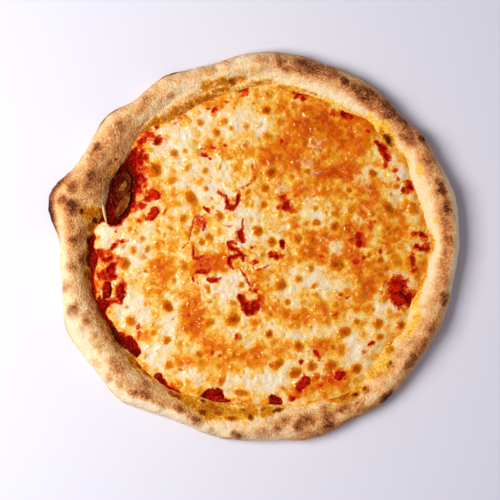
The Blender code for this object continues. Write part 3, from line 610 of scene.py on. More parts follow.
def paint_blister(maps, x, y, across, along, darkness, seed):
    """A browned bubble: a low dome whose middle is brown, whose edge is golden, in a ring of pale cheese."""
    part, out = oval_distance(x, y, across, along, 40 * math.sin(seed * 2.4), 0.2, seed)
    size = min(across, along)
    browned = darkness * (0.5 * step(1.3, 0.95, out) + 0.5 * step(1.05, 0.15, out))
    paint(maps["bake"], part, browned)
    paint(maps["golden"], part, step(1.9, 1.0, out))
    ring = 0.5 * step(1.2, 3.5, size) + 0.12
    paint(maps["pale"], part, ring * step(2.7, 1.6, out) * step(1.0, 1.5, out))
    dome = np.clip(1 - out ** 2, 0, 1) ** 0.7
    moat = np.exp(-((out - 1.35) / 0.3) ** 2)
    maps["height"][part] += (0.3 + 0.22 * size) * dome - 0.2 * moat


def scatter_small_blisters(maps, count, random):
    """Small bubbles wherever no larger one is, seeded so that they are the same each time."""
    placed = [(x, y, max(a, b)) for x, y, a, b, _ in BLISTERS]
    for seed in range(count):
        angle, share = random.uniform(0, 360), math.sqrt(random.uniform(0, 1))
        x, y = on_circle(angle, share * (float(foot_radius(angle)) - 3))
        size = 0.8 + 2.1 * random.uniform(0, 1) ** 2
        darkness = random.uniform(0.1, 0.6)
        shape = random.uniform(0.7, 1.3)
        if all(math.hypot(x - px, y - py) > 1.2 * (size + reach) + 0.4 for px, py, reach in placed):
            placed.append((x, y, size))
            paint_blister(maps, x, y, size * shape, size / shape, darkness, SMALL_BLISTERS_FROM + seed)


def paint_cheese_maps():
    """What lies where in the cheese: blisters, oil, sauce, pale and bare places, and how far it stands up."""
    names = ("bake", "golden", "pale", "fibre", "height", "oil", "red", "bare", "curd")
    maps = {name: blank() for name in names}
    for number, blister in enumerate(BLISTERS):
        paint_blister(maps, *blister, number)
    scatter_small_blisters(maps, SMALL_BLISTER_TRIES, np.random.default_rng(BLISTER_DICE))
    for number, (x, y, across, along, amount, *turn) in enumerate(OIL_ZONES):
        part, out = oval_distance(x, y, across, along, *turn, waviness=0.3, seed=OIL_ZONES_FROM + number)
        maps["oil"][part] += amount * step(1.35, 0.35, out)
    maps["oil"] = blurred(maps["oil"], 1.5)
    paint_spots(maps["red"], SAUCE_SPOTS, 0.6, SAUCE_SPOTS_FROM, 0.25)
    paint_streaks(maps["red"], maps["height"], maps["pale"])
    for width, points in RIDGES:
        paint_ridge(maps, width, points, 1)
    paint_fibres(maps, np.random.default_rng(FIBRE_DICE))
    maps["red"] *= 0.9 + 0.22 * lump_noise(1.7, 710, MAP_X, MAP_Y) + 0.16 * lump_noise(4, 711, MAP_X, MAP_Y)
    openings, lumps = ([(*spot[:4], 1, *spot[4:]) for spot in table] for table in (OPENINGS, CURDS))
    paint_spots(maps["bare"], openings, 0.4, OPENINGS_FROM, 0.6)
    paint_spots(maps["curd"], lumps, 0.35, CURDS_FROM)
    return maps


def rim_oval(angle, radius, along, across, waviness, seed):
    """As oval_distance, for an oval that lies along the rim."""
    return oval_distance(*on_circle(angle, radius), along, across, angle + 90, waviness, seed)


def paint_rim_maps():
    """What lies where on the rim: how browned, charred, oily or bubbled each place is, with painted shade in
    a few dark oil rows.
    """
    maps = {name: blank() for name in ("brown", "char_and_shade", "oil", "bubble")}
    for number, (*oval, darkness) in enumerate(RIM_SPOTS):
        part, out = rim_oval(*oval, 0.45, RIM_SPOTS_FROM + number)
        paint(maps["brown"], part, darkness * step(1.7, 0.2, out))
        paint(maps["bubble"], part, step(1.4, 0.2, out))
    for number, (*oval, amount, darkness) in enumerate(RIM_OIL):
        part, out = rim_oval(*oval, 0.35, RIM_OIL_FROM + number)
        paint(maps["oil"], part, amount * step(1.6, 0.5, out))
        paint(maps["char_and_shade"], part, darkness * step(1.3, 0.3, out))
    return maps


# ---------------------------------------------------------------- meshes
def zip_rings(a, count_a, b, count_b):
    """Triangles facing up between an inner ring of points, whose first index is a, and an outer one."""
    faces = []
    i = j = 0
    while i < count_a or j < count_b:
        here, there = a + i % count_a, b + j % count_b
        if (j + 1) * count_a <= (i + 1) * count_b:
            j += 1
            faces.append((here, there, b + j % count_b))
        else:
            i += 1
            faces.append((here, there, a + i % count_a))
    return faces


def rings_over_disc(radius_at, spacing):
    """Places spread evenly over a disc with an uneven edge, and each ring's first index and count."""
    reach = float(np.mean(radius_at(np.arange(360.0))))
    rings, places = [(0, 1)], [np.zeros((1, 2))]
    for k in range(1, round(reach / spacing) + 1):
        share = k * spacing / reach
        count = max(6, round(2 * math.pi * k))
        angle = np.arange(count) * 360 / count
        radius = min(share, 1) * radius_at(angle)
        rings.append((rings[-1][0] + rings[-1][1], count))
        places.append(np.stack(on_circle(angle, radius), 1))
    return rings, np.concatenate(places)


def add_piece(name, points, faces, material, masks, slot, *nodes):
    """A mesh in millimetres, made into a piece that rides on the root body and stands for the CAD nodes."""
    mesh = bpy.data.meshes.new(name)
    mesh.from_pydata((points * MM).tolist(), [], faces)
    for mask, values in masks.items():
        mesh.attributes.new(mask, "FLOAT", "POINT").data.foreach_set("value", np.asarray(values, np.float32))
    mesh.materials.append(material)
    mesh.shade_smooth()
    piece = bpy.data.objects.new(name, mesh)
    bpy.context.scene.collection.objects.link(piece)
    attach(piece, "root")
    if nodes:
        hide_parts(*nodes)


def fan(middle, ring, count):
    """Triangles from a middle point out to a ring."""
    return [(middle, ring + i, ring + (i + 1) % count) for i in range(count)]


def sheet_mesh(radius_at, spacing, height_at, floor):
    """A closed sheet with a flat underside: its points and its faces."""
    rings, places = rings_over_disc(radius_at, spacing)
    top = np.column_stack([places, height_at(places[:, 0], places[:, 1])])
    faces = []
    for (a, count_a), (b, count_b) in zip(rings, rings[1:]):
        faces += zip_rings(a, count_a, b, count_b) if count_a > 1 else fan(a, b, count_b)
    edge, count = rings[-1]
    layers = [top]
    above, used = edge, len(top)
    for share in (1.0, 0.93, 0.6, 0.25):
        layers.append(np.column_stack([share * places[edge:edge + count], np.full(count, floor)]))
        for i in range(count):
            j = (i + 1) % count
            faces.append((above + j, above + i, used + i, used + j))
        above, used = used, used + count
    layers.append(np.array([[0, 0, floor]]))
    faces += [(above + (i + 1) % count, above + i, used) for i in range(count)]
    return np.concatenate(layers), faces


# ---------------------------------------------------------------- materials
def srgb(red, green, blue):
    """A colour given as on a screen, 0 to 255, in linear light."""
    def linear(v):
        v = v / 255
        return v / 12.92 if v <= 0.04045 else ((v + 0.055) / 1.055) ** 2.4
    return linear(red), linear(green), linear(blue), 1.0


class Nodes:
    """A material's node tree, with short ways to add to it."""

    def __init__(self, name):
        self.material = bpy.data.materials.new(name)
        self.material.use_nodes = True
        self.tree = self.material.node_tree
        self.shader = self.tree.nodes["Principled BSDF"]

    def add(self, kind, **settings):
        node = self.tree.nodes.new(kind)
        for key, value in settings.items():
            setattr(node, key, value)
        return node

    def join(self, output, socket):
        self.tree.links.new(output, socket)

    def feed(self, value, socket):
        if isinstance(value, bpy.types.NodeSocket):
            self.join(value, socket)
        else:
            socket.default_value = value

    def times(self, a, b):
        return self.math("MULTIPLY", a, b)

    def math(self, operation, *values):
        node = self.add("ShaderNodeMath", operation=operation)
        for socket, value in zip(node.inputs, values):
            self.feed(value, socket)
        return node.outputs[0]

    def mask(self, name):
        return self.add("ShaderNodeAttribute", attribute_name=name).outputs["Fac"]

    def noise(self, size, detail=3.0, roughness=0.55, distortion=0.0):
        """Noise from 0 to 1 with lumps about this many millimetres across."""
        node = self.add("ShaderNodeTexNoise")
        values = (1 / (size * MM), detail, roughness, distortion)
        for key, value in zip(("Scale", "Detail", "Roughness", "Distortion"), values):
            node.inputs[key].default_value = value
        self.join(self.add("ShaderNodeTexCoord").outputs["Object"], node.inputs["Vector"])
        return self.between(node.outputs["Fac"], 0.26, 0.74)

    def ramp(self, value, *stops):
        """A colour for each value, between stops given as (value, red, green, blue) from 0 to 255."""
        node = self.add("ShaderNodeValToRGB")
        elements = node.color_ramp.elements
        while len(elements) < len(stops):
            elements.new(0.5)
        for element, (at, *colour) in zip(elements, stops):
            element.position = at
            element.color = srgb(*colour)
        self.join(value, node.inputs[0])
        return node.outputs[0]

    def mix(self, share, a, b):
        node = self.add("ShaderNodeMix", data_type="RGBA")
        self.feed(share, node.inputs[0])
        self.feed(a, node.inputs[6])
        self.feed(b, node.inputs[7])
        return node.outputs[2]

    def between(self, value, low, high):
        """0 where value is low, 1 where it is high, smooth between."""
        node = self.add("ShaderNodeMapRange", interpolation_type="SMOOTHSTEP")
        self.join(value, node.inputs[0])
        node.inputs[1].default_value = low
        node.inputs[2].default_value = high
        return node.outputs[0]

    def around(self, base, noise, amount):
        """base plus the noise's departure from its middle, times amount."""
        return self.math("ADD", base, self.times(self.math("SUBTRACT", noise, 0.5), amount))

    def bump(self, *layers):
        """Fine relief from layers given as (height from 0 to 1, depth in millimetres)."""
        normal = None
        for height, depth in layers:
            node = self.add("ShaderNodeBump")
            node.inputs["Distance"].default_value = depth * MM
            self.join(height, node.inputs["Height"])
            if normal is not None:
                self.join(normal, node.inputs["Normal"])
            normal = node.outputs[0]
        self.join(normal, self.shader.inputs["Normal"])

    def set(self, **values):
        for key, value in values.items():
            self.feed(value, self.shader.inputs[key.replace("_", " ")])


def crust_material():
    """Floury dough, browned in freckles where its mask says so, and soaked with oil on the inner slope; its
    brown and char masks also carry painted shade, its flour mask painted light.
    """
    m = Nodes("baked_dough")
    coarse, patch, grain, speck = m.noise(16), m.noise(6.5, 4), m.noise(2.0, 3, 0.7), m.noise(1.3, 2)
    freckled = m.math("MULTIPLY_ADD", m.mask("brown"), 0.32, 0.09)
    brown = m.around(m.mask("brown"), patch, 0.24)
    brown = m.around(m.around(brown, grain, freckled), speck, freckled)
    dough = m.ramp(
        brown,
        (0.0, 248, 220, 172), (0.2, 243, 191, 126), (0.4, 225, 152, 88), (0.6, 181, 106, 58),
        (0.8, 130, 72, 38), (1.0, 76, 42, 22),
    )
    # The pale mix paints flour, and on parts of the rim's outer side painted light; the brown mask also
    # carries painted shade.
    pale = m.between(m.around(m.around(m.mask("flour_and_light"), coarse, 0.4), grain, 0.36), 0.4, 1.0)
    unbaked = m.math("MULTIPLY_ADD", m.mask("brown"), -0.9, 0.7)
    dough = m.mix(m.times(pale, unbaked), dough, srgb(246, 221, 186))
    oily = m.ramp(
        m.around(m.around(m.mask("char_and_shade"), grain, 0.3), patch, 0.2),
        (0.0, 252, 204, 84), (0.2, 226, 146, 26), (0.45, 187, 98, 8), (0.7, 128, 56, 8),
        (1.0, 60, 20, 6),
    )
    soaked = m.between(m.around(m.around(m.mask("oil"), patch, 0.2), grain, 0.2), 0.12, 0.85)
    m.set(Base_Color=m.mix(soaked, dough, oily), Roughness=0.85, Specular_IOR_Level=0.05)
    baked = m.math("MULTIPLY_ADD", m.between(m.mask("brown"), 0.0, 0.35), 0.45, 0.55)
    grain, speck = (m.times(noise, baked) for noise in (grain, speck))
    m.bump((coarse, 0.5), (patch, 0.5), (grain, 0.6), (speck, 0.4))
    return m.material


def wet(m, spot, dry_level, wet_level, tint):
    """Dull all over but for small wet spots, which catch the light."""
    m.set(Specular_Tint=tint)
    m.set(Specular_IOR_Level=m.math("MULTIPLY_ADD", spot, wet_level - dry_level, dry_level))
    m.set(Roughness=m.math("MULTIPLY_ADD", spot, -0.4, 0.55))


def cheese_material():
    """Melted cheese from cream through yellow to orange as it holds more oil, browned blisters and sauce."""
    m = Nodes("melted_mozzarella")
    soft, fleck, fine, gleam = m.noise(9, 2), m.noise(4.6, 2, 0.45, 0.8), m.noise(1.4, 2), m.noise(2.6, 2)
    lively = m.math("MULTIPLY_ADD", m.mask("oil"), 0.3, 0.14)
    oil = m.around(m.around(m.around(m.mask("oil"), soft, 0.24), fleck, lively), fine, 0.12)
    orange = m.ramp(
        oil,
        (0.0, 235, 213, 178), (0.15, 238, 202, 140), (0.28, 237, 179, 76), (0.4, 231, 147, 32),
        (0.54, 223, 118, 10), (0.72, 213, 94, 0), (1.0, 184, 62, 0),
    )
    yellow = m.ramp(
        oil,
        (0.0, 233, 215, 184), (0.2, 238, 205, 134), (0.38, 233, 177, 56), (0.6, 228, 136, 10),
        (1.0, 206, 98, 0),
    )
    colour = m.mix(m.between(m.noise(11, 2), 0.45, 0.9), orange, yellow)
    tender = m.times(m.between(m.noise(5.0, 3, 0.6), 0.62, 0.95), m.between(oil, 0.75, 0.25))
    colour = m.mix(m.times(tender, 0.5), colour, srgb(240, 194, 112))
    ringed = m.times(m.mask("golden"), m.between(oil, 0.75, 0.35))
    colour = m.mix(m.times(ringed, 0.6), colour, srgb(232, 170, 36))
    colour = m.mix(m.times(m.mask("fibre"), 0.5), colour, srgb(242, 210, 170))
    bake = m.around(m.around(m.mask("bake"), fleck, 0.2), fine, 0.24)
    baked = m.ramp(
        bake,
        (0.1, 232, 164, 30), (0.4, 216, 124, 8), (0.75, 192, 82, 0), (1.0, 154, 52, 0),
    )
    colour = m.mix(m.between(bake, 0.05, 0.5), colour, baked)
    red = m.around(m.around(m.mask("red"), fleck, 0.3), fine, 0.16)
    sauce = m.ramp(
        red,
        (0.2, 232, 128, 14), (0.42, 214, 84, 6), (0.62, 184, 32, 2), (0.95, 130, 5, 0),
    )
    colour = m.mix(m.between(red, 0.12, 0.42), colour, sauce)
    m.set(Base_Color=colour)
    m.set(Subsurface_Weight=0.08, Subsurface_Scale=0.002, Subsurface_Radius=(1.0, 0.5, 0.25))
    dry = m.math("MAXIMUM", red, bake)
    shine = m.times(m.between(gleam, 0.55, 0.8), m.between(dry, 0.85, 0.3))
    wet(m, shine, 0.02, 0.9, (1.0, 0.84, 0.68, 1))
    m.bump((soft, 0.4), (fleck, 0.22), (gleam, 0.16), (fine, 0.03))
    return m.material


def sauce_material(name, brighter, lumpiness):
    """Wet tomato, from nearly black red in its hollows to orange red on its lumps; the tone mask also carries
    painted shade.
    """
    m = Nodes(name)
    lumps, pulp, fine, gleam = m.noise(6, 3), m.noise(2.4, 3, 0.6), m.noise(1.0, 2), m.noise(1.8, 2)
    tone = m.around(m.around(m.mask("tone"), lumps, 0.25 * lumpiness), pulp, 0.3 * lumpiness)
    colour = m.ramp(
        tone,
        (0.0, 74, 4, 0), (0.35, 134, 6, 0), (0.65, 184 + brighter, 22, 2), (1.0, 222, 60, 10),
    )
    m.set(Base_Color=colour, Subsurface_Weight=0.05, Subsurface_Scale=0.002)
    wet(m, m.between(gleam, 0.6, 0.85), 0.01, 0.45, (1.0, 0.6, 0.4, 1))
    m.bump((lumps, 0.5 * lumpiness), (pulp, 0.8 * lumpiness), (fine, 0.2))
    return m.material


def film_material():
    """Thin baked dough, soaked with sauce where its tone is low and pale where it is high; the tone's rise
    along each strip's edges is a painted highlight.
    """
    m = Nodes("baked_film")
    patch, fine = m.noise(4, 3), m.noise(0.9, 2)
    tone = m.around(m.around(m.mask("tone"), patch, 0.3), fine, 0.15)
    colour = m.ramp(
        tone,
        (0.0, 58, 10, 0), (0.35, 116, 46, 6), (0.65, 166, 98, 30), (1.0, 240, 190, 120),
    )
    m.set(Base_Color=colour, Roughness=0.5, Specular_IOR_Level=0.03)
    m.bump((patch, 0.4), (fine, 0.15))
    return m.material


# ---------------------------------------------------------------- the crust
CRUST_ANGLES = (np.arange(CRUST_TURN_STEPS) * 360 / CRUST_TURN_STEPS)[:, None]


def felt_sections():
    """The rim's sections as the CAD crust has them, felt by rays from inside the rim: radius and height."""
    tree = tree_of("crust")
    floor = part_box("tomato_sauce")[0].z / MM - 0.2
    sections = []
    for angle in CRUST_ANGLES.ravel():
        ux, uy = on_circle(angle, 1.0)
        outer = cast(tree, (ux * FAR_OUT, uy * FAR_OUT, CRUST_CORE_HEIGHT), (-ux, -uy, 0))
        outer_reach = math.hypot(outer[0], outer[1])
        foot = float(foot_radius(angle))
        core = outer_reach - 0.4 * (outer_reach - foot)
        drop, run = CRUST_CORE_HEIGHT - floor, core - foot + CRUST_PAST_FOOT
        section = []
        for turn in np.linspace(-75.0, 180 + math.degrees(math.atan2(drop, run)), CRUST_RAYS):
            across, rise = math.cos(math.radians(turn)), math.sin(math.radians(turn))
            hit = cast(tree, (ux * core, uy * core, CRUST_CORE_HEIGHT), (ux * across, uy * across, rise))
            section.append((math.hypot(hit[0], hit[1]), hit[2]) if hit is not None else section[-1])
        section += [(foot - 2, floor), (foot - CRUST_PAST_FOOT, floor)]
        sections.append(with_toe(evenly_spaced(np.array(section), CRUST_STEPS), angle, floor))
    return np.array(sections)


def with_toe(section, angle, floor):
    """The section with its foot raised where the rim's toe creeps in."""
    beyond = section[:, 0] - edge_radius(angle)
    raised = TOE_HEIGHT + TOE_RISE * step(-1, 3, beyond) + TOE_SLOPE * beyond
    raised = floor + (raised - floor) * step(0, 1, toe(angle)) * step(-2, -0.5, beyond)
    inside = np.arange(len(section)) > len(section) // 2
    section[:, 1] = np.where(inside, np.maximum(section[:, 1], raised), section[:, 1])
    return section


def evenly_spaced(line, count):
    """This many points, spaced evenly along a line."""
    length = np.concatenate([[0], np.cumsum(np.hypot(*np.diff(line, axis=0).T))])
    at = np.linspace(0, length[-1], count)
    return np.column_stack([np.interp(at, length, line[:, k]) for k in (0, 1)])


def grid_normals(points):
    """The outward direction at each point of the rim's grid."""
    round_rim = np.roll(points, -1, axis=0) - np.roll(points, 1, axis=0)
    across = np.gradient(points, axis=1)
    normal = np.cross(round_rim, across)
    return normal / np.linalg.norm(normal, axis=2, keepdims=True)


def rim_zones(angle, across):
    """How much browner, and how much flourier, each place on the rim is than the rest; some zones paint shade
    and light this way.
    """
    brown, flour_and_light = np.zeros_like(across), np.zeros_like(across)
    for middle, half_width, share, half_share, browning_and_shading, dusting_and_light in RIM_ZONES:
        turn = (angle - middle + 180) % 360 - 180
        weight = step(1.4, 0.4, np.hypot(turn / half_width, (across - share) / half_share))
        brown += browning_and_shading * weight
        flour_and_light += dusting_and_light * weight
    return brown, flour_and_light


def scorched(angle, inwards):
    """How much browner each place is for lying on a scorched part of the outermost lip."""
    brown = np.zeros_like(inwards)
    for middle, half_width, width, amount in SCORCHED_LIPS:
        turn = (angle - middle + 180) % 360 - 180
        brown += amount * step(1.4, 0.5, abs(turn) / half_width) * step(1.2, 0.4, inwards / width)
    return brown


def ring_faces(ring, inner, facing_up):
    """Quads between a ring and the next one inside it."""
    after, inner_after = np.roll(ring, -1), np.roll(inner, -1)
    quads = (ring, after, inner_after, inner) if facing_up else (ring, inner, inner_after, after)
    return np.stack(quads, axis=1).tolist()


def fan_faces(ring, middle, facing_up):
    """Triangles between a ring and its middle."""
    after = np.roll(ring, -1)
    middles = np.full(len(ring), middle)
    return np.stack((ring, after, middles) if facing_up else (after, ring, middles), axis=1).tolist()


def swollen(points, radius, bubbles):
    """The rim's points pushed out into lumps and bubbles, but not where it rests or meets the sauce."""
    x, y, z = np.moveaxis(points, 2, 0)
    swell = 0.9 * rough_noise(13, 11, x, y, z) + 0.35 * rough_noise(4.5, 12, x, y, z)
    swell += 0.6 * sampled(bubbles, x, y)
    swell += 0.13 * lump_noise(1.8, 13, x, y, z)
    edge = edge_radius(CRUST_ANGLES)
    free = step(0.6, 5, z) * step(edge - 1.5, edge + 4, radius)
    points = points + grid_normals(points) * (swell * free)[..., None]
    points[..., 2] = np.maximum(points[..., 2], 0)
    return points


def crust_masks(maps, points, radius):
    """How brown, oily, floury and charred each point of the rim is, with painted shade in the brown and char
    masks and painted light in the flour mask.
    """
    angle = CRUST_ANGLES
    foot, edge = foot_radius(angle), edge_radius(angle)
    outer = radius.max(axis=1, keepdims=True)
    across = (radius - foot) / (outer - foot)
    up = grid_normals(points)[..., 2]
    x, y, z = np.moveaxis(points, 2, 0)
    # RIM_ZONES adds browning and flour, and in some rows painted shade and painted light.
    zone_brown_and_shading, zone_flour_and_light = rim_zones(angle, across)
    # This is 1 on the side that faced the fire, which is also the side turned from the window light.
    toasted_and_shaded = 0.5 + 0.5 * np.cos(np.radians(angle - FIRE_AND_SHADE_SIDE))

    leopard = step(0.1, 0.8, rough_noise(11, 21, x, y, z)) + 0.5 * step(0.2, 0.9, rough_noise(4, 22, x, y, z))
    # The outer part is browner, more so on the side that faced the fire: browning, and there also painted
    # shade.
    crest_and_shade = 0.04 + (0.08 + 0.15 * toasted_and_shaded + 0.12 * leopard) * step(0.1, 0.5, across)
    # Painted shade: on the side nearest the window light the inner slope, which faces away from it, is
    # darkened.
    crest_and_shade += 0.2 * (1 - toasted_and_shaded) * step(0.5, 0.1, across)
    spots = sampled(maps["brown"], x, y) * step(-0.1, 0.35, up)
    side = step(0.3, -0.2, up) * (0.05 + 0.25 * leopard) + scorched(angle, outer - radius)
    brown = crest_and_shade + side + 0.55 * spots + zone_brown_and_shading * step(0, 0.3, up)

    # The strip that touches the topping is soaked with its oil, but hardly beside the hollow at the left.
    wavering = 0.75 + 0.35 * lump_noise(9, 25, x, y, z)
    touching = step(4 + 0.5 * toe(angle), 1 + 0.5 * toe(angle), radius - edge) * wavering
    touching *= 1 - 0.7 * step(20, 12, abs(angle - 150))
    oil = np.maximum(sampled(maps["oil"], x, y), touching) * step(0, 0.3, up)
    # The strip is also darker towards the left.
    char_and_shade = np.maximum(sampled(maps["char_and_shade"], x, y), 0.28 * touching * step(100, -60, x))
    # The outer part is paler on the side nearest the window light: flour, and there also painted light.
    flour_and_light = 0.3 + 0.35 * (1 - toasted_and_shaded) * step(0.45, 0.9, across) + 0.12 * rough_noise(18, 24, x, y, z)
    return {"brown": brown, "oil": oil, "flour_and_light": flour_and_light + zone_flour_and_light, "char_and_shade": char_and_shade}


def closed_crust(points):
    """The rim's grid closed by its underside and by the flat floor under the sauce: points and faces."""
    count = CRUST_TURN_STEPS
    grid = np.arange(count * CRUST_STEPS).reshape(count, CRUST_STEPS)
    after = np.roll(grid, -1, axis=0)
    quads = np.stack([grid[:, :-1], after[:, :-1], after[:, 1:], grid[:, 1:]], axis=2)
    faces = quads.reshape(-1, 4).tolist()
    layers = [points.reshape(-1, 3)]
    used = grid.size
    closings = ((-1, FLOOR_RINGS, points[:, -1, 2].mean(), True), (0, UNDERSIDE_RINGS, 0.0, False))
    for column, shares, level, facing_up in closings:
        outline, ring = points[:, column], grid[:, column]
        for share in shares:
            layers.append(np.column_stack([share * outline[:, :2], np.full(count, level)]))
            inner = used + np.arange(count)
            faces += ring_faces(ring, inner, facing_up)
            ring, used = inner, used + count
        layers.append(np.array([[0.0, 0.0, level]]))
        faces += fan_faces(ring, used, facing_up)
        used += 1
    return np.concatenate(layers), faces


def make_crust(maps):
    sections = spread(spread(felt_sections(), 0, 6.0, 16, "wrap"), 1, 1.2, 4)
    radius, height = sections[..., 0], sections[..., 1]
    points = np.stack([*on_circle(CRUST_ANGLES, radius), height], axis=2)
    points = swollen(points, radius, maps["bubble"])
    masks = crust_masks(maps, points, radius)
    points, faces = closed_crust(points)
    hidden = points[CRUST_TURN_STEPS * CRUST_STEPS:]
    baked = 0.2 + 0.5 * step(0.2, 0.8, rough_noise(11, 23, *hidden.T))
    below = {"brown": baked, "oil": 0, "flour_and_light": 0.6, "char_and_shade": 0}
    for name, mask in masks.items():
        masks[name] = np.concatenate([mask.ravel(), np.full(len(hidden), below[name])])
    add_piece("crust_baked", points, faces, crust_material(), masks, "baked_dough", "crust")


# ---------------------------------------------------------------- sauce, cheese, tomato
def sheet_radius(angle):
    """The radius of the sauce's and the cheese's hidden edge, inside the rim."""
    return edge_radius(angle) + RIM_REACH


def pocket_share(x, y):
    """1 in the hollow at the left where the rim's inner wall has burst open."""
    angle = np.degrees(np.arctan2(y, x)) % 360
    radius = np.hypot(x, y)
    return step(139, 147, angle) * step(178, 170, angle) * step(99, 105, radius)


def sauce_height(x, y):
    """The height of the lumpy sauce, lower in the hollow."""
    rise = 0.5 * rough_noise(6, 31, x, y) + 0.3 * lump_noise(2.4, 32, x, y)
    return SAUCE_TOP + rise - 0.6 * pocket_share(x, y)


def make_sauce():
    points, faces = sheet_mesh(sheet_radius, SAUCE_SPACING, sauce_height, SAUCE_FLOOR)
    x, y = points[:, 0], points[:, 1]
    angle = np.degrees(np.arctan2(y, x)) % 360
    beyond = np.hypot(x, y) - edge_radius(angle)
    # Painted shade: the sauce's tone is darkened in the rim's shadow round 218° and in the hollow at the
    # left.
    shaded = step(-7, -1, beyond) * step(11, 5, abs(angle - 218))
    hollow_shade = pocket_share(x, y) * step(-93, -103, x)
    masks = {"tone": 0.36 + 0.25 * rough_noise(11, 33, x, y) - 0.34 * hollow_shade - 0.26 * shaded}
    material = sauce_material("wet_sauce", 0, 1)
    add_piece("tomato_sauce_wet", points, faces, material, masks, "tomato_sauce", "tomato_sauce")


def spread_to_rim(cover):
    """The cover drawn outwards, so that cheese which comes near the rim touches it."""
    for outwards in (2, 4, 6):
        inner = 1 - outwards / np.maximum(MAP_RADIUS, 10)
        cover = np.maximum(cover, sampled(cover, MAP_X * inner, MAP_Y * inner))
    return cover


def rim_nearness():
    """1 where the sheets touch the rim, 0 a few millimetres in."""
    edge = edge_radius(np.degrees(np.arctan2(MAP_Y, MAP_X)))
    return step(-6, 1, MAP_RADIUS - edge + 1.2 * lump_noise(5, 50, MAP_X, MAP_Y))


def make_cheese(maps):
    cover = spread_to_rim(blurred(cheese_cover(), 1.5))
    cover = np.maximum(cover, maps["curd"]) * (1 - maps["bare"])
    ragged = cover + 0.3 * rough_noise(3.6, 41, MAP_X, MAP_Y) * step(1, 0.7, blurred(cover, 1.2))
    lies = step(0.3, 0.72, blurred(ragged, 0.5))
    red = np.maximum(maps["red"], 0.8 * step(0.5, 0.2, lies))
    red = np.maximum(red, np.minimum(0.42, 1.1 * blurred(red, 2.2)))
    near = rim_nearness()
    mounds = 0.6 * rough_noise(15, 44, MAP_X, MAP_Y) + 0.7 * rough_noise(6, 45, MAP_X, MAP_Y, octaves=2)
    mounds += 0.15 * lump_noise(2.6, 46, MAP_X, MAP_Y) - 1.9 * near
    top = CHEESE_TOP + mounds + maps["height"] - 0.6 * step(0.45, 0.95, blurred(maps["red"], 0.8))
    height = CHEESE_EDGE + (top - CHEESE_EDGE) * lies
    points, faces = sheet_mesh(sheet_radius, SHEET_SPACING, lambda x, y: sampled(height, x, y), CHEESE_FLOOR)
    oil = 0.23 + maps["oil"] + 0.13 * rough_noise(20, 47, MAP_X, MAP_Y)
    oil += 0.22 * rough_noise(8, 48, MAP_X, MAP_Y)
    oil += 0.08 - 0.22 * maps["pale"] - maps["fibre"] * (0.1 + 0.2 * oil)
    oil = np.maximum(oil, near * (0.35 + 0.15 * lump_noise(9, 51, MAP_X, MAP_Y)))
    fields = {"oil": oil, "bake": maps["bake"], "golden": maps["golden"], "red": red, "fibre": maps["fibre"]}
    masks = {name: sampled(field, points[:, 0], points[:, 1]) for name, field in fields.items()}
    add_piece("mozzarella_melted", points, faces, cheese_material(), masks, "melted_cheese", "mozzarella")


def make_tomato_pieces():
    material = sauce_material("crushed_tomato", 14, 0.5)
    names = sorted(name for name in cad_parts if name.startswith("tomato_piece"))
    for number, name in enumerate(names):
        low, high = (np.array(corner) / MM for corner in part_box(name))
        make_tomato_piece(name, low, high, TOMATO_FROM + number, TORN_PIECES[number], material)


def make_tomato_piece(node, low, high, seed, lie, material):
    """A torn, flat, wet chunk of tomato that fills the CAD piece's box."""
    turn, stretch, tone = lie

    def edge(angle):
        x, y = on_circle(np.asarray(angle) - turn, 1.0)
        oval = (abs(x / stretch) ** 2.4 + abs(y) ** 2.4) ** (-1 / 2.4)
        return 5 * oval * (1 + 0.28 * lump_noise(0.8, seed, x, y) + 0.16 * lump_noise(0.3, seed + 1, x, y))

    def height(x, y):
        out = np.hypot(x, y) / edge(np.degrees(np.arctan2(y, x)))
        lumps = 0.22 * rough_noise(5, seed + 2, x, y) + 0.07 * lump_noise(1.6, seed + 3, x, y)
        return np.clip(1 - out ** 4, 0, 1) ** 0.5 * (0.75 + lumps)

    points, faces = sheet_mesh(edge, TOMATO_SPACING, height, -0.2)
    small, large = points.min(axis=0), points.max(axis=0)
    # Painted shade and light: each piece is darker at its low edges and lighter on its top.
    tone = tone + 0.2 * (points[:, 2] - 0.6) + 0.2 * rough_noise(3, seed + 4, *points.T)
    points = low + (points - small) / (large - small) * (high - low)
    add_piece(node + "_torn", points, faces, material, {"tone": tone}, "tomato_flesh", node)


def make_film(name, spine, widths, height, curl, tone, seed, material):
    """A thin baked fold that lies in the hollow: a closed strip along its spine."""
    steps, ways = 40, 12
    spine = np.array(spine, float)
    at = np.linspace(0, 1, steps)
    middle = np.stack([np.interp(at, np.linspace(0, 1, len(spine)), spine[:, k]) for k in (0, 1)], 1)
    middle = spread(middle, 0, 4, 11)
    along = np.gradient(middle, axis=0)
    side = np.stack([-along[:, 1], along[:, 0]], 1) / np.linalg.norm(along, axis=1, keepdims=True)
    width = np.interp(at, np.linspace(0, 1, len(widths)), widths)
    across = np.linspace(-1, 1, ways)
    x = middle[:, 0, None] + side[:, 0, None] * width[:, None] * across / 2
    y = middle[:, 1, None] + side[:, 1, None] * width[:, None] * across / 2
    z = height + curl * across ** 2 + 0.5 * lump_noise(5, seed, x, y)
    # Painted highlight: the strip is lighter towards both its edges.
    tone = tone + 0.12 * across ** 2 + 0.12 * lump_noise(4, seed + 1, x, y)
    top = np.stack([x, y, z], 2).reshape(-1, 3)
    under = top - np.array([0, 0, FILM_THICKNESS])
    add_closed_strip(name, top, under, (steps, ways), tone, material, "baked_dough")


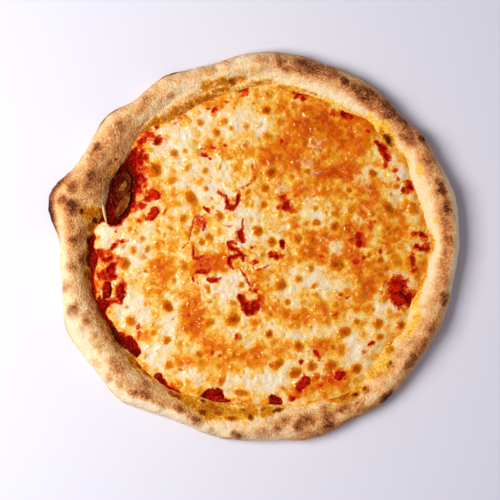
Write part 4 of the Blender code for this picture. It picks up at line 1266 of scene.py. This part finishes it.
def add_closed_strip(name, top, under, shape, tone, material, slot):
    """A piece whose top and underside are grids of this shape, closed all round."""
    grid = np.arange(len(top)).reshape(shape)
    quads = np.stack([grid[:-1, :-1], grid[:-1, 1:], grid[1:, 1:], grid[1:, :-1]], 2).reshape(-1, 4)
    rim = np.concatenate([grid[0, :-1], grid[:-1, -1], grid[-1, :0:-1], grid[:0:-1, 0]])
    after, below = np.roll(rim, -1), len(top)
    walls = np.stack([after, rim, rim + below, after + below], 1)
    faces = np.concatenate([quads[:, ::-1], quads + below, walls[:, ::-1]]).tolist()
    points = np.concatenate([top, under])
    tones = np.concatenate([tone.ravel(), tone.ravel()])
    add_piece(name, points, faces, material, {"tone": tones}, slot)


def make_films():
    material = film_material()
    for number, (name, height, curl, tone, widths, spine) in enumerate(FILMS):
        make_film(name, spine, widths, height, curl, tone, FILMS_FROM + 2 * number, material)


# ---------------------------------------------------------------- floor, light, camera: in metres
FLOOR_SIZE, FLOOR_GAP = 4.0, 0.0004


def make_floor():
    """A plain pale floor just under the pizza."""
    bpy.ops.mesh.primitive_plane_add(size=FLOOR_SIZE, location=(0, 0, -FLOOR_GAP))
    floor = bpy.context.object
    floor.name = "floor"
    m = Nodes("pale_floor")
    m.set(Base_Color=srgb(223, 222, 230), Roughness=0.9, Specular_IOR_Level=0.1)
    floor.data.materials.append(m.material)


def add_light(name, position, size, watts, colour):
    """A square area light that faces the pizza."""
    light = bpy.data.lights.new(name, "AREA")
    light.size = size
    light.energy = watts
    light.color = colour
    lamp = bpy.data.objects.new(name, light)
    lamp.location = position
    lamp.rotation_euler = (-Vector(position)).to_track_quat("-Z", "Y").to_euler()
    bpy.context.scene.collection.objects.link(lamp)


def make_lights():
    """A window at the left, a weak card at the right and a dim room."""
    add_light("window", (-0.70, 0.02, 0.92), 0.65, 16.8, (1.0, 0.985, 0.96))
    add_light("card", (0.95, -0.1, 0.2), 0.5, 1.2, (1.0, 0.95, 0.9))
    world = bpy.data.worlds.new("studio")
    world.use_nodes = True
    background = world.node_tree.nodes["Background"]
    background.inputs["Color"].default_value = (0.86, 0.84, 1.1, 1)
    background.inputs["Strength"].default_value = 0.205
    bpy.context.scene.world = world


def make_camera():
    """Straight down, the pizza a little right of and above the middle of the view."""
    distance, seen = 1.3, 0.4
    data = bpy.data.cameras.new("camera")
    data.sensor_width = 36
    data.lens = data.sensor_width * distance / seen
    camera = bpy.data.objects.new("camera", data)
    camera.location = (-0.0028, -0.003, distance + 0.007)
    bpy.context.scene.collection.objects.link(camera)
    bpy.context.scene.camera = camera


def main():
    bpy.context.scene.view_settings.view_transform = "Standard"
    make_camera()
    make_lights()
    make_floor()
    make_crust(paint_rim_maps())
    make_sauce()
    make_cheese(paint_cheese_maps())
    make_tomato_pieces()
    make_films()


main()
